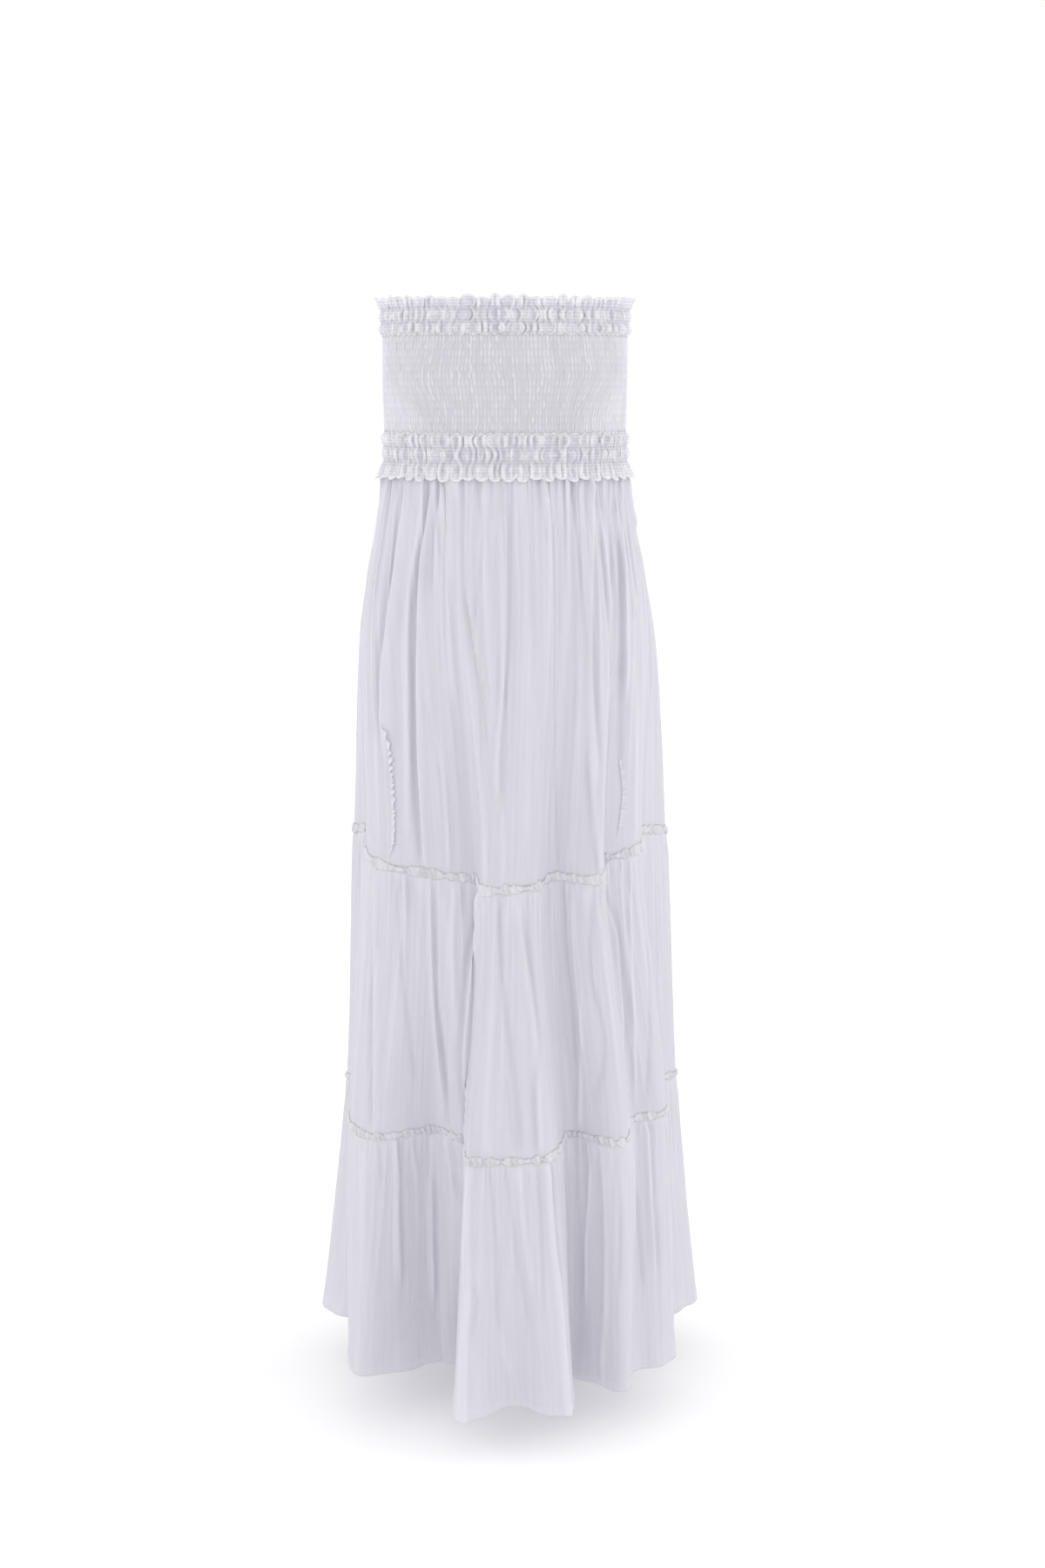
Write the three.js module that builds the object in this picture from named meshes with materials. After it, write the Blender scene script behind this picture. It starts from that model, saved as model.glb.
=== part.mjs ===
// A strapless maxi dress, worn: a shirred bodice tube with a gathered lace band at its top and
// another under the bust, and a skirt of three gathered tiers that hangs to the ankle. A narrow
// crinkled frill stands on each seam between the tiers. Every piece is a cloth wall round a hollow.
// Millimetres, +Z up. The front faces -Y. The origin is the centre of the bodice's top opening.
import * as THREE from 'three';

// Heights, measured down from the bodice's top edge
const LACE_FOOT_Z = -33;
const UNDER_LACE_TOP_Z = -128;
const WAIST_Z = -175;
const SEAM_1_Z = -613;
const SEAM_2_Z = -906;
const HEM_Z = -1206;

// Cloth
const SKIRT_WALL = 1.2;
const BODICE_WALL = 1.5;
const SEAM_GAP = 0.3;
const HEM_TURN_EXTRA = 0.7;

// Shirring on the bodice
const SHIRR_RIBS_PER_PANEL = 30;
const SHIRR_HEIGHT = 1.2;
const BODICE_LINING_COLUMNS = 24;

// Lace bands
const LACE_WALL = 1.15;
const LACE_CLEAR = 0.45;
const LACE_SCALLOPS = 48;
const COLUMNS_PER_SCALLOP = 3;
const TOP_SCALLOP_LOW = 3;
const TOP_SCALLOP_HIGH = 10;
const UNDER_SCALLOP_HIGH = -179;
const UNDER_SCALLOP_LOW = -187;

// Columns of the skirt's wall from one fold row to the next
const COLUMNS_PER_SIDE = 6;

// Share by which gathers differ in height, and how far they wander from even spacing, in gathers
const GATHER_UNEVEN = 0.4;
const GATHER_WANDER = 0.16;

// Frills on the tier seams
const FRILL_CLEAR = 0.6;
const FRILL_FOOT = 2.2;
const FRILL_REACH = 4.4;
const FRILL_RISE = 6.5;
const FRILL_DROP = 1.5;

// The general figure that the cloth follows: half width, depth to the front and to the back, and
// the power of the rounded outline (2 is an ellipse, more is squarer)
const SECTIONS = [
  { z: 10, wide: 133, front: 103, back: 91, square: 2.2 },
  { z: -33, wide: 134, front: 116, back: 92, square: 2.4 },
  { z: -85, wide: 134, front: 124, back: 91, square: 2.6 },
  { z: -128, wide: 133, front: 114, back: 88, square: 2.5 },
  { z: -175, wide: 133, front: 99, back: 86, square: 2.3 },
  { z: -240, wide: 144, front: 106, back: 96, square: 2.15 },
  { z: -310, wide: 160, front: 114, back: 110, square: 2.1 },
  { z: -390, wide: 170, front: 122, back: 122, square: 2.05 },
  { z: -500, wide: 172, front: 128, back: 130, square: 2 },
  { z: -605, wide: 173, front: 132, back: 136, square: 2 },
  { z: -905, wide: 190, front: 158, back: 160, square: 2 },
  { z: -1206, wide: 212, front: 176, back: 182, square: 2 },
];

// The large folds: one row for each crest and each valley, from the left side seam round the front
// to the right side seam and on round the back. "turn" is its angle from the front, in degrees, and
// "out" is how far it stands from the figure's outline, at the waist, the two seams and the hem.
const FOLD_LEVELS = [WAIST_Z, SEAM_1_Z, SEAM_2_Z, HEM_Z];
const FOLDS = [
  { name: 'left valley', turn: [-90, -92, -90, -86], out: [0, -26, -25, -42] },
  { name: 'left front crest', turn: [-67, -50, -48, -54], out: [0, 22, 34, 12] },
  { name: 'left recess', turn: [-47, -28, -29, -38], out: [0, 13, -10, -70] },
  { name: 'left recess end', turn: [-33, -13, -16, -25], out: [0, 10, 2, -82] },
  { name: 'centre crest left', turn: [-10, -7, -11, -13], out: [0, 40, 48, 50] },
  { name: 'centre dip', turn: [5, 2, 1, 3], out: [0, 36, 46, 12] },
  { name: 'centre crest right', turn: [19, 10, 12, 18], out: [0, 32, 44, 42] },
  { name: 'right front valley', turn: [35, 21, 27, 31], out: [0, 10, -3, -36] },
  { name: 'right front crest', turn: [50, 35, 39, 41], out: [0, 36, 35, 20] },
  { name: 'right dip', turn: [61, 48, 54, 52], out: [0, -4, 1, -9] },
  { name: 'right crest', turn: [72, 63, 66, 65], out: [0, 0, 14, 9] },
  { name: 'right valley', turn: [90, 86, 89, 88], out: [0, -21, -27, -44] },
  { name: 'back right crest', turn: [112, 118, 118, 116], out: [0, 42, 44, 52] },
  { name: 'back right valley', turn: [136, 137, 138, 136], out: [0, -14, -24, -38] },
  { name: 'back crest 1', turn: [152, 154, 153, 152], out: [0, 18, 25, 31] },
  { name: 'back valley 1', turn: [168, 167, 168, 168], out: [0, -10, -18, -28] },
  { name: 'back crest 2', turn: [184, 183, 183, 184], out: [0, 20, 28, 36] },
  { name: 'back valley 2', turn: [200, 199, 199, 200], out: [0, -12, -20, -34] },
  { name: 'back crest 3', turn: [216, 213, 213, 214], out: [0, 15, 20, 28] },
  { name: 'back left valley', turn: [231, 226, 228, 229], out: [0, -12, -20, -30] },
  { name: 'back left crest', turn: [250, 244, 250, 248], out: [0, 32, 16, 34] },
];
const FOLD_SIDES = FOLDS.length;
const RIGHT_SEAM = FOLDS.findIndex((fold) => fold.name === 'right valley');

// How far a seam hangs down for each millimetre that its fold stands out, and how far it is
// lifted at the sides
const HANG = [0, 0.2, 0.18, 0.05];
const SIDE_LIFT = [0, 20, 9, 0];

const COTTON = { color: 0xe9e9f2, roughness: 0.9, metalness: 0 };
const LACE = { color: 0xe6e6f0, roughness: 0.85, metalness: 0 };

const radians = THREE.MathUtils.degToRad;
const mix = THREE.MathUtils.lerp;

// A smooth curve through values given at heights that run downwards
function along(heights, values, z) {
  const last = heights.length - 1;
  if (z >= heights[0]) {
    return values[0];
  }
  if (z <= heights[last]) {
    return values[last];
  }
  const at = heights.findIndex((height) => height < z) - 1;
  const slope = (i) => {
    const low = Math.max(i - 1, 0);
    const high = Math.min(i + 1, last);
    return (values[high] - values[low]) / (heights[high] - heights[low]);
  };
  const span = heights[at + 1] - heights[at];
  const t = (z - heights[at]) / span;
  const startWeight = 2 * t ** 3 - 3 * t ** 2 + 1;
  const startSlope = (t ** 3 - 2 * t ** 2 + t) * span * slope(at);
  const endSlope = (t ** 3 - t ** 2) * span * slope(at + 1);
  return values[at] * startWeight + startSlope + values[at + 1] * (1 - startWeight) + endSlope;
}

// The figure's outline at one height, as its distance from the axis at an angle from the front
function figureRadius(turn, z) {
  const heights = SECTIONS.map((section) => section.z);
  const read = (key) => along(heights, SECTIONS.map((section) => section[key]), z);
  const depth = Math.cos(turn) >= 0 ? read('front') : read('back');
  const square = read('square');
  const across = Math.abs(Math.sin(turn)) / read('wide');
  const deep = Math.abs(Math.cos(turn)) / depth;
  return (across ** square + deep ** square) ** (-1 / square);
}

// A point of the skirt before its gathers: side counts fold rows round the skirt, and z is the
// nominal height
function skirtPoint(side, z) {
  const row = Math.floor(side);
  const part = side - row;
  const read = (key, index) => {
    const fold = FOLDS[((index % FOLD_SIDES) + FOLD_SIDES) % FOLD_SIDES];
    return along(FOLD_LEVELS, fold[key], z);
  };
  const wrap = (index) => 360 * Math.floor(index / FOLD_SIDES);
  const turn = radians(mix(read('turn', row) + wrap(row), read('turn', row + 1) + wrap(row + 1), part));
  const out = mix(read('out', row), read('out', row + 1), (1 - Math.cos(Math.PI * part)) / 2);
  const radius = figureRadius(turn, z) + out;
  const hang = along(FOLD_LEVELS, HANG, z) * out;
  const lift = along(FOLD_LEVELS, SIDE_LIFT, z) * Math.sin(turn) ** 2;
  return new THREE.Vector3(radius * Math.sin(turn), -radius * Math.cos(turn), z - hang + lift);
}

// Steps along the outline, in fold rows and in turns, that its direction is taken over
const SIDE_STEP = 0.04;
const ROUND_STEP = 0.002;

// The level direction square to a closed outline, pointing away from the axis
function outward(pointAt, at, step) {
  const ahead = pointAt(at + step).sub(pointAt(at - step));
  return new THREE.Vector3(ahead.y, -ahead.x, 0).normalize();
}

function skirtOutward(side, z) {
  return outward((at) => skirtPoint(at, z), side, SIDE_STEP);
}

// A point of the bodice: round runs from 0 at the left side seam to 1 there again
function bodicePoint(round, z) {
  const around = radians(-90 + 360 * round);
  const heights = SECTIONS.map((section) => section.z);
  const wide = along(heights, SECTIONS.map((section) => section.wide), z);
  const depth = along(heights, SECTIONS.map((section) => section.front), z);
  const turn = Math.atan2(wide * Math.sin(around), depth * Math.cos(around));
  const radius = figureRadius(turn, z);
  return new THREE.Vector3(radius * Math.sin(turn), -radius * Math.cos(turn), z);
}

function bodiceOutward(round, z) {
  return outward((at) => bodicePoint(at, z), round, ROUND_STEP);
}

// Gathers: soft ridges that start at the seam above, are fullest a little below it and fade
function gather(tier, side, z) {
  const below = tier.top - z;
  const start = 1 - Math.exp(-below / tier.gatherStart);
  const fade = 1 / (1 + (below / tier.gatherRun) ** 2);
  const close = Math.min(1, (z - tier.bottom) / tier.gatherStart);
  const uneven = 1 - GATHER_UNEVEN * (1 + Math.sin(side * 2.7 + tier.top)) / 2;
  const turns = tier.gathersPerSide * side + tier.phase + GATHER_WANDER * Math.sin(side * 1.9);
  return tier.gatherHeight * uneven * start * fade * close * Math.cos(2 * Math.PI * turns);
}

// Collects one closed body from chains of points that are stitched side by side
class Cloth {
  constructor() {
    this.points = [];
    this.faces = [];
  }

  chain(points) {
    return points.map((point) => this.points.push(point.x, point.y, point.z) / 3 - 1);
  }

  // Triangles between two chains, with b on the left of a as seen from outside
  stitch(a, b) {
    let i = 0;
    let j = 0;
    while (i < a.length - 1 || j < b.length - 1) {
      const nextA = (i + 1) / (a.length - 1);
      const nextB = (j + 1) / (b.length - 1);
      if (j === b.length - 1 || (i < a.length - 1 && nextA <= nextB)) {
        this.faces.push(a[i], a[i + 1], b[j]);
        i += 1;
      } else {
        this.faces.push(a[i], b[j + 1], b[j]);
        j += 1;
      }
    }
  }

  // A wall from rows of outer and inner points, each from top to bottom and left to right
  wall(outerRows, innerRows, closed) {
    const ring = (row) => {
      const chain = this.chain(row);
      return closed ? [...chain, chain[0]] : chain;
    };
    const outer = outerRows.map(ring);
    const inner = innerRows.map(ring);
    for (let r = 0; r < outer.length - 1; r += 1) {
      this.stitch(outer[r + 1], outer[r]);
    }
    for (let r = 0; r < inner.length - 1; r += 1) {
      this.stitch(inner[r], inner[r + 1]);
    }
    this.stitch(outer[0], inner[0]);
    this.stitch(inner.at(-1), outer.at(-1));
    if (!closed) {
      const edge = (rows, end) => rows.map((row) => row.at(end));
      this.stitch(edge(inner, 0), edge(outer, 0));
      this.stitch(edge(outer, -1), edge(inner, -1));
    }
    return this;
  }

  mesh(name, finish) {
    const geometry = new THREE.BufferGeometry();
    geometry.setAttribute('position', new THREE.Float32BufferAttribute(this.points, 3));
    geometry.setIndex(this.faces);
    const mesh = new THREE.Mesh(geometry, new THREE.MeshStandardMaterial(finish));
    mesh.name = name;
    return mesh;
  }
}

const steps = (count) => Array.from({ length: count + 1 }, (_, i) => i / count);

// Moves the end points of a panel back from its side seams by half the gap
function clearSeams(row, towards) {
  const half = (SEAM_GAP / 2) * towards;
  row[0].y += half;
  row.at(-1).y += half;
  return row;
}

// One shirred panel of the bodice: ribs outside, plain inside
function bodicePanel(name, start, towards) {
  const rows = [0, LACE_FOOT_Z, -52, -71, -90, -109, UNDER_LACE_TOP_Z, WAIST_Z];
  const columns = 2 * SHIRR_RIBS_PER_PANEL;
  const outerRows = rows.map((z, r) => {
    const ribbed = z < LACE_FOOT_Z && z > UNDER_LACE_TOP_Z;
    return clearSeams(steps(columns).map((part, c) => {
      const round = start + part / 2;
      const isRib = c % 2 === 1;
      const height = ribbed && isRib ? SHIRR_HEIGHT * (r % 2 ? 1 : 0.75) : 0;
      return bodicePoint(round, z).addScaledVector(bodiceOutward(round, z), height);
    }), towards);
  });
  const innerRows = [0, LACE_FOOT_Z, -71, -109, UNDER_LACE_TOP_Z, WAIST_Z].map((z) => (
    clearSeams(steps(BODICE_LINING_COLUMNS).map((part) => {
      const round = start + part / 2;
      return bodicePoint(round, z).addScaledVector(bodiceOutward(round, z), -BODICE_WALL);
    }), towards)
  ));
  return new Cloth().wall(outerRows, innerRows, false).mesh(name, COTTON);
}

// A gathered lace band round the bodice. Its rows give the height, how far the face stands off the
// panel, and how much of the ruffle's wave it takes.
function laceBand(name, outerRows, innerRows) {
  const columns = LACE_SCALLOPS * COLUMNS_PER_SCALLOP;
  const ringOf = (row) => steps(columns).slice(0, -1).map((round, c) => {
    const inScallop = c % COLUMNS_PER_SCALLOP === 0 ? 1 : 0;
    const wave = (1 + Math.sin(Math.PI * LACE_SCALLOPS * round)) / 2;
    const z = mix(row.z, row.notch ?? row.z, inScallop);
    const pinch = row.pinch && inScallop ? row.pinch : 0;
    const off = row.off + row.wave * wave - pinch;
    return bodicePoint(round, z).addScaledVector(bodiceOutward(round, z), off);
  });
  return new Cloth().wall(outerRows.map(ringOf), innerRows.map(ringOf), true).mesh(name, LACE);
}

function topLace() {
  const face = LACE_CLEAR + LACE_WALL;
  const edge = { z: TOP_SCALLOP_HIGH, notch: TOP_SCALLOP_LOW };
  return laceBand('lace_top', [
    { ...edge, off: face + 1.5, wave: 3.5 },
    { z: -5, off: face, wave: 0.9 },
    { z: -16, off: face + 0.7, wave: 0, pinch: 0.7 },
    { z: LACE_FOOT_Z, off: face, wave: 0 },
  ], [
    { ...edge, off: LACE_CLEAR + 1.5, wave: 3.5 },
    { z: -5, off: LACE_CLEAR, wave: 0.9 },
    { z: LACE_FOOT_Z, off: LACE_CLEAR, wave: 0 },
  ]);
}

function underLace() {
  const face = LACE_CLEAR + LACE_WALL;
  const edge = { z: UNDER_SCALLOP_LOW, notch: UNDER_SCALLOP_HIGH };
  return laceBand('lace_under', [
    { z: UNDER_LACE_TOP_Z, off: face, wave: 0 },
    { z: -150, off: face + 0.7, wave: 0.3, pinch: 0.7 },
    { z: WAIST_Z + 4, off: face, wave: 0.9 },
    { ...edge, off: face + 2, wave: 2 },
  ], [
    { z: UNDER_LACE_TOP_Z, off: LACE_CLEAR, wave: 0 },
    { z: WAIST_Z, off: LACE_CLEAR, wave: 0.4 },
    { ...edge, off: LACE_CLEAR + 2.2, wave: 2 },
  ]);
}

// One panel of a skirt tier, from one side seam to the other
function tierPanel(name, tier, firstSide, lastSide, towards) {
  const columns = (lastSide - firstSide) * COLUMNS_PER_SIDE;
  const rowAt = (level, depth) => {
    const z = mix(tier.top, tier.bottom, level);
    return clearSeams(steps(columns).map((part) => {
      const side = mix(firstSide, lastSide, part);
      const away = gather(tier, side, z) - depth;
      const point = skirtPoint(side, z).addScaledVector(skirtOutward(side, z), away);
      point.z -= level === 0 ? SEAM_GAP : 0;
      return point;
    }), towards);
  };
  const turned = (level) => (tier.hem && level > tier.hem ? HEM_TURN_EXTRA : 0);
  const outerRows = tier.levels.map((level) => rowAt(level, -turned(level)));
  const innerRows = tier.levels.map((level) => rowAt(level, SKIRT_WALL));
  return new Cloth().wall(outerRows, innerRows, false).mesh(name, COTTON);
}

// A narrow crinkled frill that stands out and up from a tier seam
function seamFrill(name, seamZ, phase) {
  const columns = FOLD_SIDES * COLUMNS_PER_SIDE;
  const ringOf = (off, rise, wave) => steps(columns).slice(0, -1).map((round) => {
    const side = round * FOLD_SIDES;
    const turns = 2 * Math.PI * side + phase;
    const away = off + wave * Math.sin(turns);
    const point = skirtPoint(side, seamZ).addScaledVector(skirtOutward(side, seamZ), away);
    point.z += rise + wave * 1.4 * Math.cos(turns);
    return point;
  });
  const outerRows = [ringOf(FRILL_REACH, FRILL_RISE, 1), ringOf(FRILL_FOOT, -FRILL_DROP, 0)];
  const thick = FRILL_FOOT - FRILL_CLEAR;
  const innerRows = [
    ringOf(FRILL_REACH - thick, FRILL_RISE, 1),
    ringOf(FRILL_CLEAR, -FRILL_DROP, 0),
  ];
  return new Cloth().wall(outerRows, innerRows, true).mesh(name, COTTON);
}

const TIERS = [
  {
    name: 'tier_1', top: WAIST_Z, bottom: SEAM_1_Z, levels: [0, 0.04, 0.14, 0.3, 0.5, 0.75, 1],
    gathersPerSide: 2, gatherHeight: 2.6, gatherStart: 9, gatherRun: 260, phase: 0,
  },
  {
    name: 'tier_2', top: SEAM_1_Z, bottom: SEAM_2_Z, levels: [0, 0.07, 0.3, 0.65, 1],
    gathersPerSide: 2, gatherHeight: 3, gatherStart: 12, gatherRun: 180, phase: 0,
  },
  {
    name: 'tier_3', top: SEAM_2_Z, bottom: HEM_Z, levels: [0, 0.07, 0.4, 0.96, 0.962, 1], hem: 0.961,
    gathersPerSide: 1, gatherHeight: 3.8, gatherStart: 12, gatherRun: 220, phase: 0.5,
  },
];

const dress = new THREE.Group();
dress.add(bodicePanel('bodice_front', 0, -1), bodicePanel('bodice_back', 0.5, 1));
dress.add(topLace(), underLace());
for (const tier of TIERS) {
  dress.add(tierPanel(`${tier.name}_front`, tier, 0, RIGHT_SEAM, -1));
  dress.add(tierPanel(`${tier.name}_back`, tier, RIGHT_SEAM, FOLD_SIDES, 1));
}
dress.add(seamFrill('frill_upper', SEAM_1_Z, 0), seamFrill('frill_lower', SEAM_2_Z, 1.2));

export default dress;
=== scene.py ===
"""A strapless tiered maxi dress in crinkled cotton gauze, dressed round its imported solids.

The dress hangs worn and hollow: a shirred bodice with a gathered lace band at its top and another
at the waist, then three gathered tiers of skirt with a crinkled frill on each seam between them.
The tables give millimetres and degrees. Meshes are in metres, and the front faces -Y.
"""

import logging
import math
from collections.abc import Callable, Sequence
from dataclasses import dataclass
from enum import Enum

import bmesh
import bpy
import numpy as np
from mathutils import Matrix, Vector


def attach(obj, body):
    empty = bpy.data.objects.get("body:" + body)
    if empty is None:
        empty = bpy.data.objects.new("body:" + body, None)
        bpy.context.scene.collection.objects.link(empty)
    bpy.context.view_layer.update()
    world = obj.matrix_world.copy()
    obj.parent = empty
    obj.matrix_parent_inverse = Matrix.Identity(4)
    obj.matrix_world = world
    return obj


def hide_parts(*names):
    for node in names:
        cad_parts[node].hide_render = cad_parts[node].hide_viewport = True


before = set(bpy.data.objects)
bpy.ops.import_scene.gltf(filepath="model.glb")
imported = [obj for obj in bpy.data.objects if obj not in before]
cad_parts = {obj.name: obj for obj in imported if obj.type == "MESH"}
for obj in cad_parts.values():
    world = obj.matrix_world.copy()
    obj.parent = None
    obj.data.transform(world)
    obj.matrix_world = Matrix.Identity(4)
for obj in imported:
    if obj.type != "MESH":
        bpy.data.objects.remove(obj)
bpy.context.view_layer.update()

LOG = logging.getLogger("dress")
Array = np.ndarray
Place = Callable[[Array, Array], tuple[Array, Array, Array]]

MM = 0.001
BODY = "root"
CLOTH_UV = "cloth"
# How bunched the threads are at each point. It also carries painted shade in the hollows and painted
# highlight on the crests of folds.
BUNCH_AND_SHADE = "bunch_and_shade"
WELD = 0.02


class Slot(Enum):
    """The record's material slots."""

    GAUZE = "gauze"
    LACE = "lace"


class Side(Enum):
    """The two halves of the dress that are cut apart and joined at the side seams."""

    FRONT = "front"
    BACK = "back"


class Level(Enum):
    """Heights of the dress's seams and edges, in millimetres from the bodice's top edge."""

    LACE_FOOT = -33.0
    WAIST = -175.0
    SEAM_1 = -613.0
    SEAM_2 = -906.0
    HEM = -1206.0
    FLOOR = -1258.0


@dataclass(frozen=True)
class Section:
    """The general figure's level outline at one height.

    Attributes:
        z: Height, in millimetres.
        wide: Half width.
        front: Depth from the axis to the front.
        back: Depth from the axis to the back.
        square: Power of the rounded outline, where 2 is an ellipse and more is squarer.
    """

    z: float
    wide: float
    front: float
    back: float
    square: float


SECTIONS = (
    Section(z=10, wide=133, front=103, back=91, square=2.2),
    Section(z=-33, wide=134, front=116, back=92, square=2.4),
    Section(z=-85, wide=134, front=124, back=91, square=2.6),
    Section(z=-128, wide=133, front=114, back=88, square=2.5),
    Section(z=-175, wide=133, front=99, back=86, square=2.3),
    Section(z=-240, wide=144, front=106, back=96, square=2.15),
    Section(z=-310, wide=160, front=114, back=110, square=2.1),
    Section(z=-390, wide=170, front=122, back=122, square=2.05),
    Section(z=-500, wide=172, front=128, back=130, square=2),
    Section(z=-605, wide=173, front=132, back=136, square=2),
    Section(z=-905, wide=190, front=158, back=160, square=2),
    Section(z=-1206, wide=212, front=176, back=182, square=2),
)


@dataclass(frozen=True)
class Fold:
    """A crest or valley of the skirt's large folds, at the waist, the two seams and the hem.

    Attributes:
        name: The fold's place on the skirt.
        turn: Angle from the front, in degrees, growing to the right side seam and on round.
        out: How far it stands from the figure's outline, in millimetres.
    """

    name: str
    turn: tuple[float, float, float, float]
    out: tuple[float, float, float, float]


FOLD_LEVELS = (Level.WAIST.value, Level.SEAM_1.value, Level.SEAM_2.value, Level.HEM.value)
FOLDS = (
    Fold("left valley", turn=(-90, -92, -90, -86), out=(0, -26, -25, -42)),
    Fold("left front crest", turn=(-67, -50, -48, -54), out=(0, 22, 34, 12)),
    Fold("left recess", turn=(-47, -28, -29, -38), out=(0, 13, -10, -70)),
    Fold("left recess end", turn=(-33, -13, -16, -25), out=(0, 10, 2, -82)),
    Fold("centre crest left", turn=(-10, -7, -11, -13), out=(0, 40, 48, 50)),
    Fold("centre dip", turn=(5, 2, 1, 3), out=(0, 36, 46, 12)),
    Fold("centre crest right", turn=(19, 10, 12, 18), out=(0, 32, 44, 42)),
    Fold("right front valley", turn=(35, 21, 27, 31), out=(0, 10, -3, -36)),
    Fold("right front crest", turn=(50, 35, 39, 41), out=(0, 36, 35, 20)),
    Fold("right dip", turn=(61, 48, 54, 52), out=(0, -4, 1, -9)),
    Fold("right crest", turn=(72, 63, 66, 65), out=(0, 0, 14, 9)),
    Fold("right valley", turn=(90, 86, 89, 88), out=(0, -21, -27, -44)),
    Fold("back right crest", turn=(112, 118, 118, 116), out=(0, 42, 44, 52)),
    Fold("back right valley", turn=(136, 137, 138, 136), out=(0, -14, -24, -38)),
    Fold("back crest 1", turn=(152, 154, 153, 152), out=(0, 18, 25, 31)),
    Fold("back valley 1", turn=(168, 167, 168, 168), out=(0, -10, -18, -28)),
    Fold("back crest 2", turn=(184, 183, 183, 184), out=(0, 20, 28, 36)),
    Fold("back valley 2", turn=(200, 199, 199, 200), out=(0, -12, -20, -34)),
    Fold("back crest 3", turn=(216, 213, 213, 214), out=(0, 15, 20, 28)),
    Fold("back left valley", turn=(231, 226, 228, 229), out=(0, -12, -20, -30)),
    Fold("back left crest", turn=(250, 244, 250, 248), out=(0, 32, 16, 34)),
)
# At the same levels: how much lower cloth hangs for each millimetre that it stands out, and how far
# the sides of the skirt lift.
HANG = (0, 0.2, 0.18, 0.05)
SIDE_LIFT = (0, 20, 9, 10)


def along(heights: Sequence[float], values: Sequence[float], z: Array) -> Array:
    """Reads a smooth curve through values given at heights that run downwards.

    Args:
        heights: The heights, highest first.
        values: The value at each height.
        z: Where to read the curve.

    Returns:
        The curve's value at each z, held level past both ends.
    """
    rows = np.asarray(heights, float)
    known = np.asarray(values, float)
    slopes = np.empty(len(rows))
    slopes[1:-1] = (known[2:] - known[:-2]) / (rows[2:] - rows[:-2])
    slopes[0] = (known[1] - known[0]) / (rows[1] - rows[0])
    slopes[-1] = (known[-1] - known[-2]) / (rows[-1] - rows[-2])
    inside = np.clip(z, rows[-1], rows[0])
    at = np.clip(np.searchsorted(-rows, -inside, side="right") - 1, 0, len(rows) - 2)
    span = rows[at + 1] - rows[at]
    t = (inside - rows[at]) / span
    start = 2 * t**3 - 3 * t**2 + 1
    bend = (t**3 - 2 * t**2 + t) * span * slopes[at] + (t**3 - t**2) * span * slopes[at + 1]
    return known[at] * start + known[at + 1] * (1 - start) + bend


def spread(start: float, *stretches: tuple[float, int]) -> Array:
    """Spaces grid lines unevenly.

    Args:
        start: The first line.
        stretches: Where each stretch ends, and how many rows it holds.

    Returns:
        The lines in order.
    """
    lines = [np.array([start])]
    for end, rows in stretches:
        lines.append(np.linspace(lines[-1][-1], end, rows + 1)[1:])
    return np.concatenate(lines)


def smooth_step(low: float, high: float, value: Array) -> Array:
    """Rises softly from 0 at low to 1 at high."""
    t = np.clip((value - low) / (high - low), 0, 1)
    return t * t * (3 - 2 * t)


def mix(low: float, high: float, share: Array) -> Array:
    """Goes from low to high by a share."""
    return low + (high - low) * share


def bell(value: Array, middle: float, wide: float) -> Array:
    """Falls softly from 1 at the middle towards 0 past the width."""
    return np.exp(-(((value - middle) / wide) ** 2))


def wander(arc: Array, wave: float, swing: float, bend: float) -> Array:
    """Gives the phase of waves whose length wanders by a swing over each bend."""
    return arc / wave + swing * np.sin(arc / bend)


def uneven(knots: Array, at: Array) -> Array:
    """Reads a smooth random value.

    Args:
        knots: The values at whole numbers, which run round.
        at: Where to read them.

    Returns:
        The value at each place.
    """
    here = np.floor(at).astype(int) % len(knots)
    return mix(knots[here], knots[(here + 1) % len(knots)], smooth_step(0, 1, at - np.floor(at)))


class Outline:
    """A closed level outline that changes with height, and that cloth is laid on.

    Attributes:
        turns: The place where the outline closes.
        probe: How far to either side the direction along it is felt.
        steps: Steps in which its length is measured.
    """

    turns = 1.0
    probe = 0.002
    steps = 4000

    def point(self, place: Array, z: Array) -> Array:
        """Gives the outline's points, in millimetres."""
        raise NotImplementedError

    def frame_at(self, place: Array, z: Array) -> tuple[Array, Array]:
        """Gives the level directions away from the axis and along the outline.

        Args:
            place: Places round the outline.
            z: Height of each.

        Returns:
            Unit vectors outward and along, one row for each place.
        """
        ahead = self.point(place + self.probe, z) - self.point(place - self.probe, z)
        ahead[:, 2] = 0
        ahead /= np.linalg.norm(ahead, axis=1, keepdims=True)
        outward = np.stack([ahead[:, 1], -ahead[:, 0], np.zeros(len(ahead))], axis=1)
        return outward, ahead

    def ruler(self, z: float) -> tuple[Array, Array]:
        """Measures the outline at one height.

        Args:
            z: The height.

        Returns:
            Places round the outline, and the length along it to each.
        """
        places = np.linspace(0, self.turns, self.steps + 1)
        points = self.point(places, np.full(self.steps + 1, z))
        lengths = np.linalg.norm(np.diff(points[:, :2], axis=0), axis=1)
        return places, np.concatenate([[0], np.cumsum(lengths)])


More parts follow.
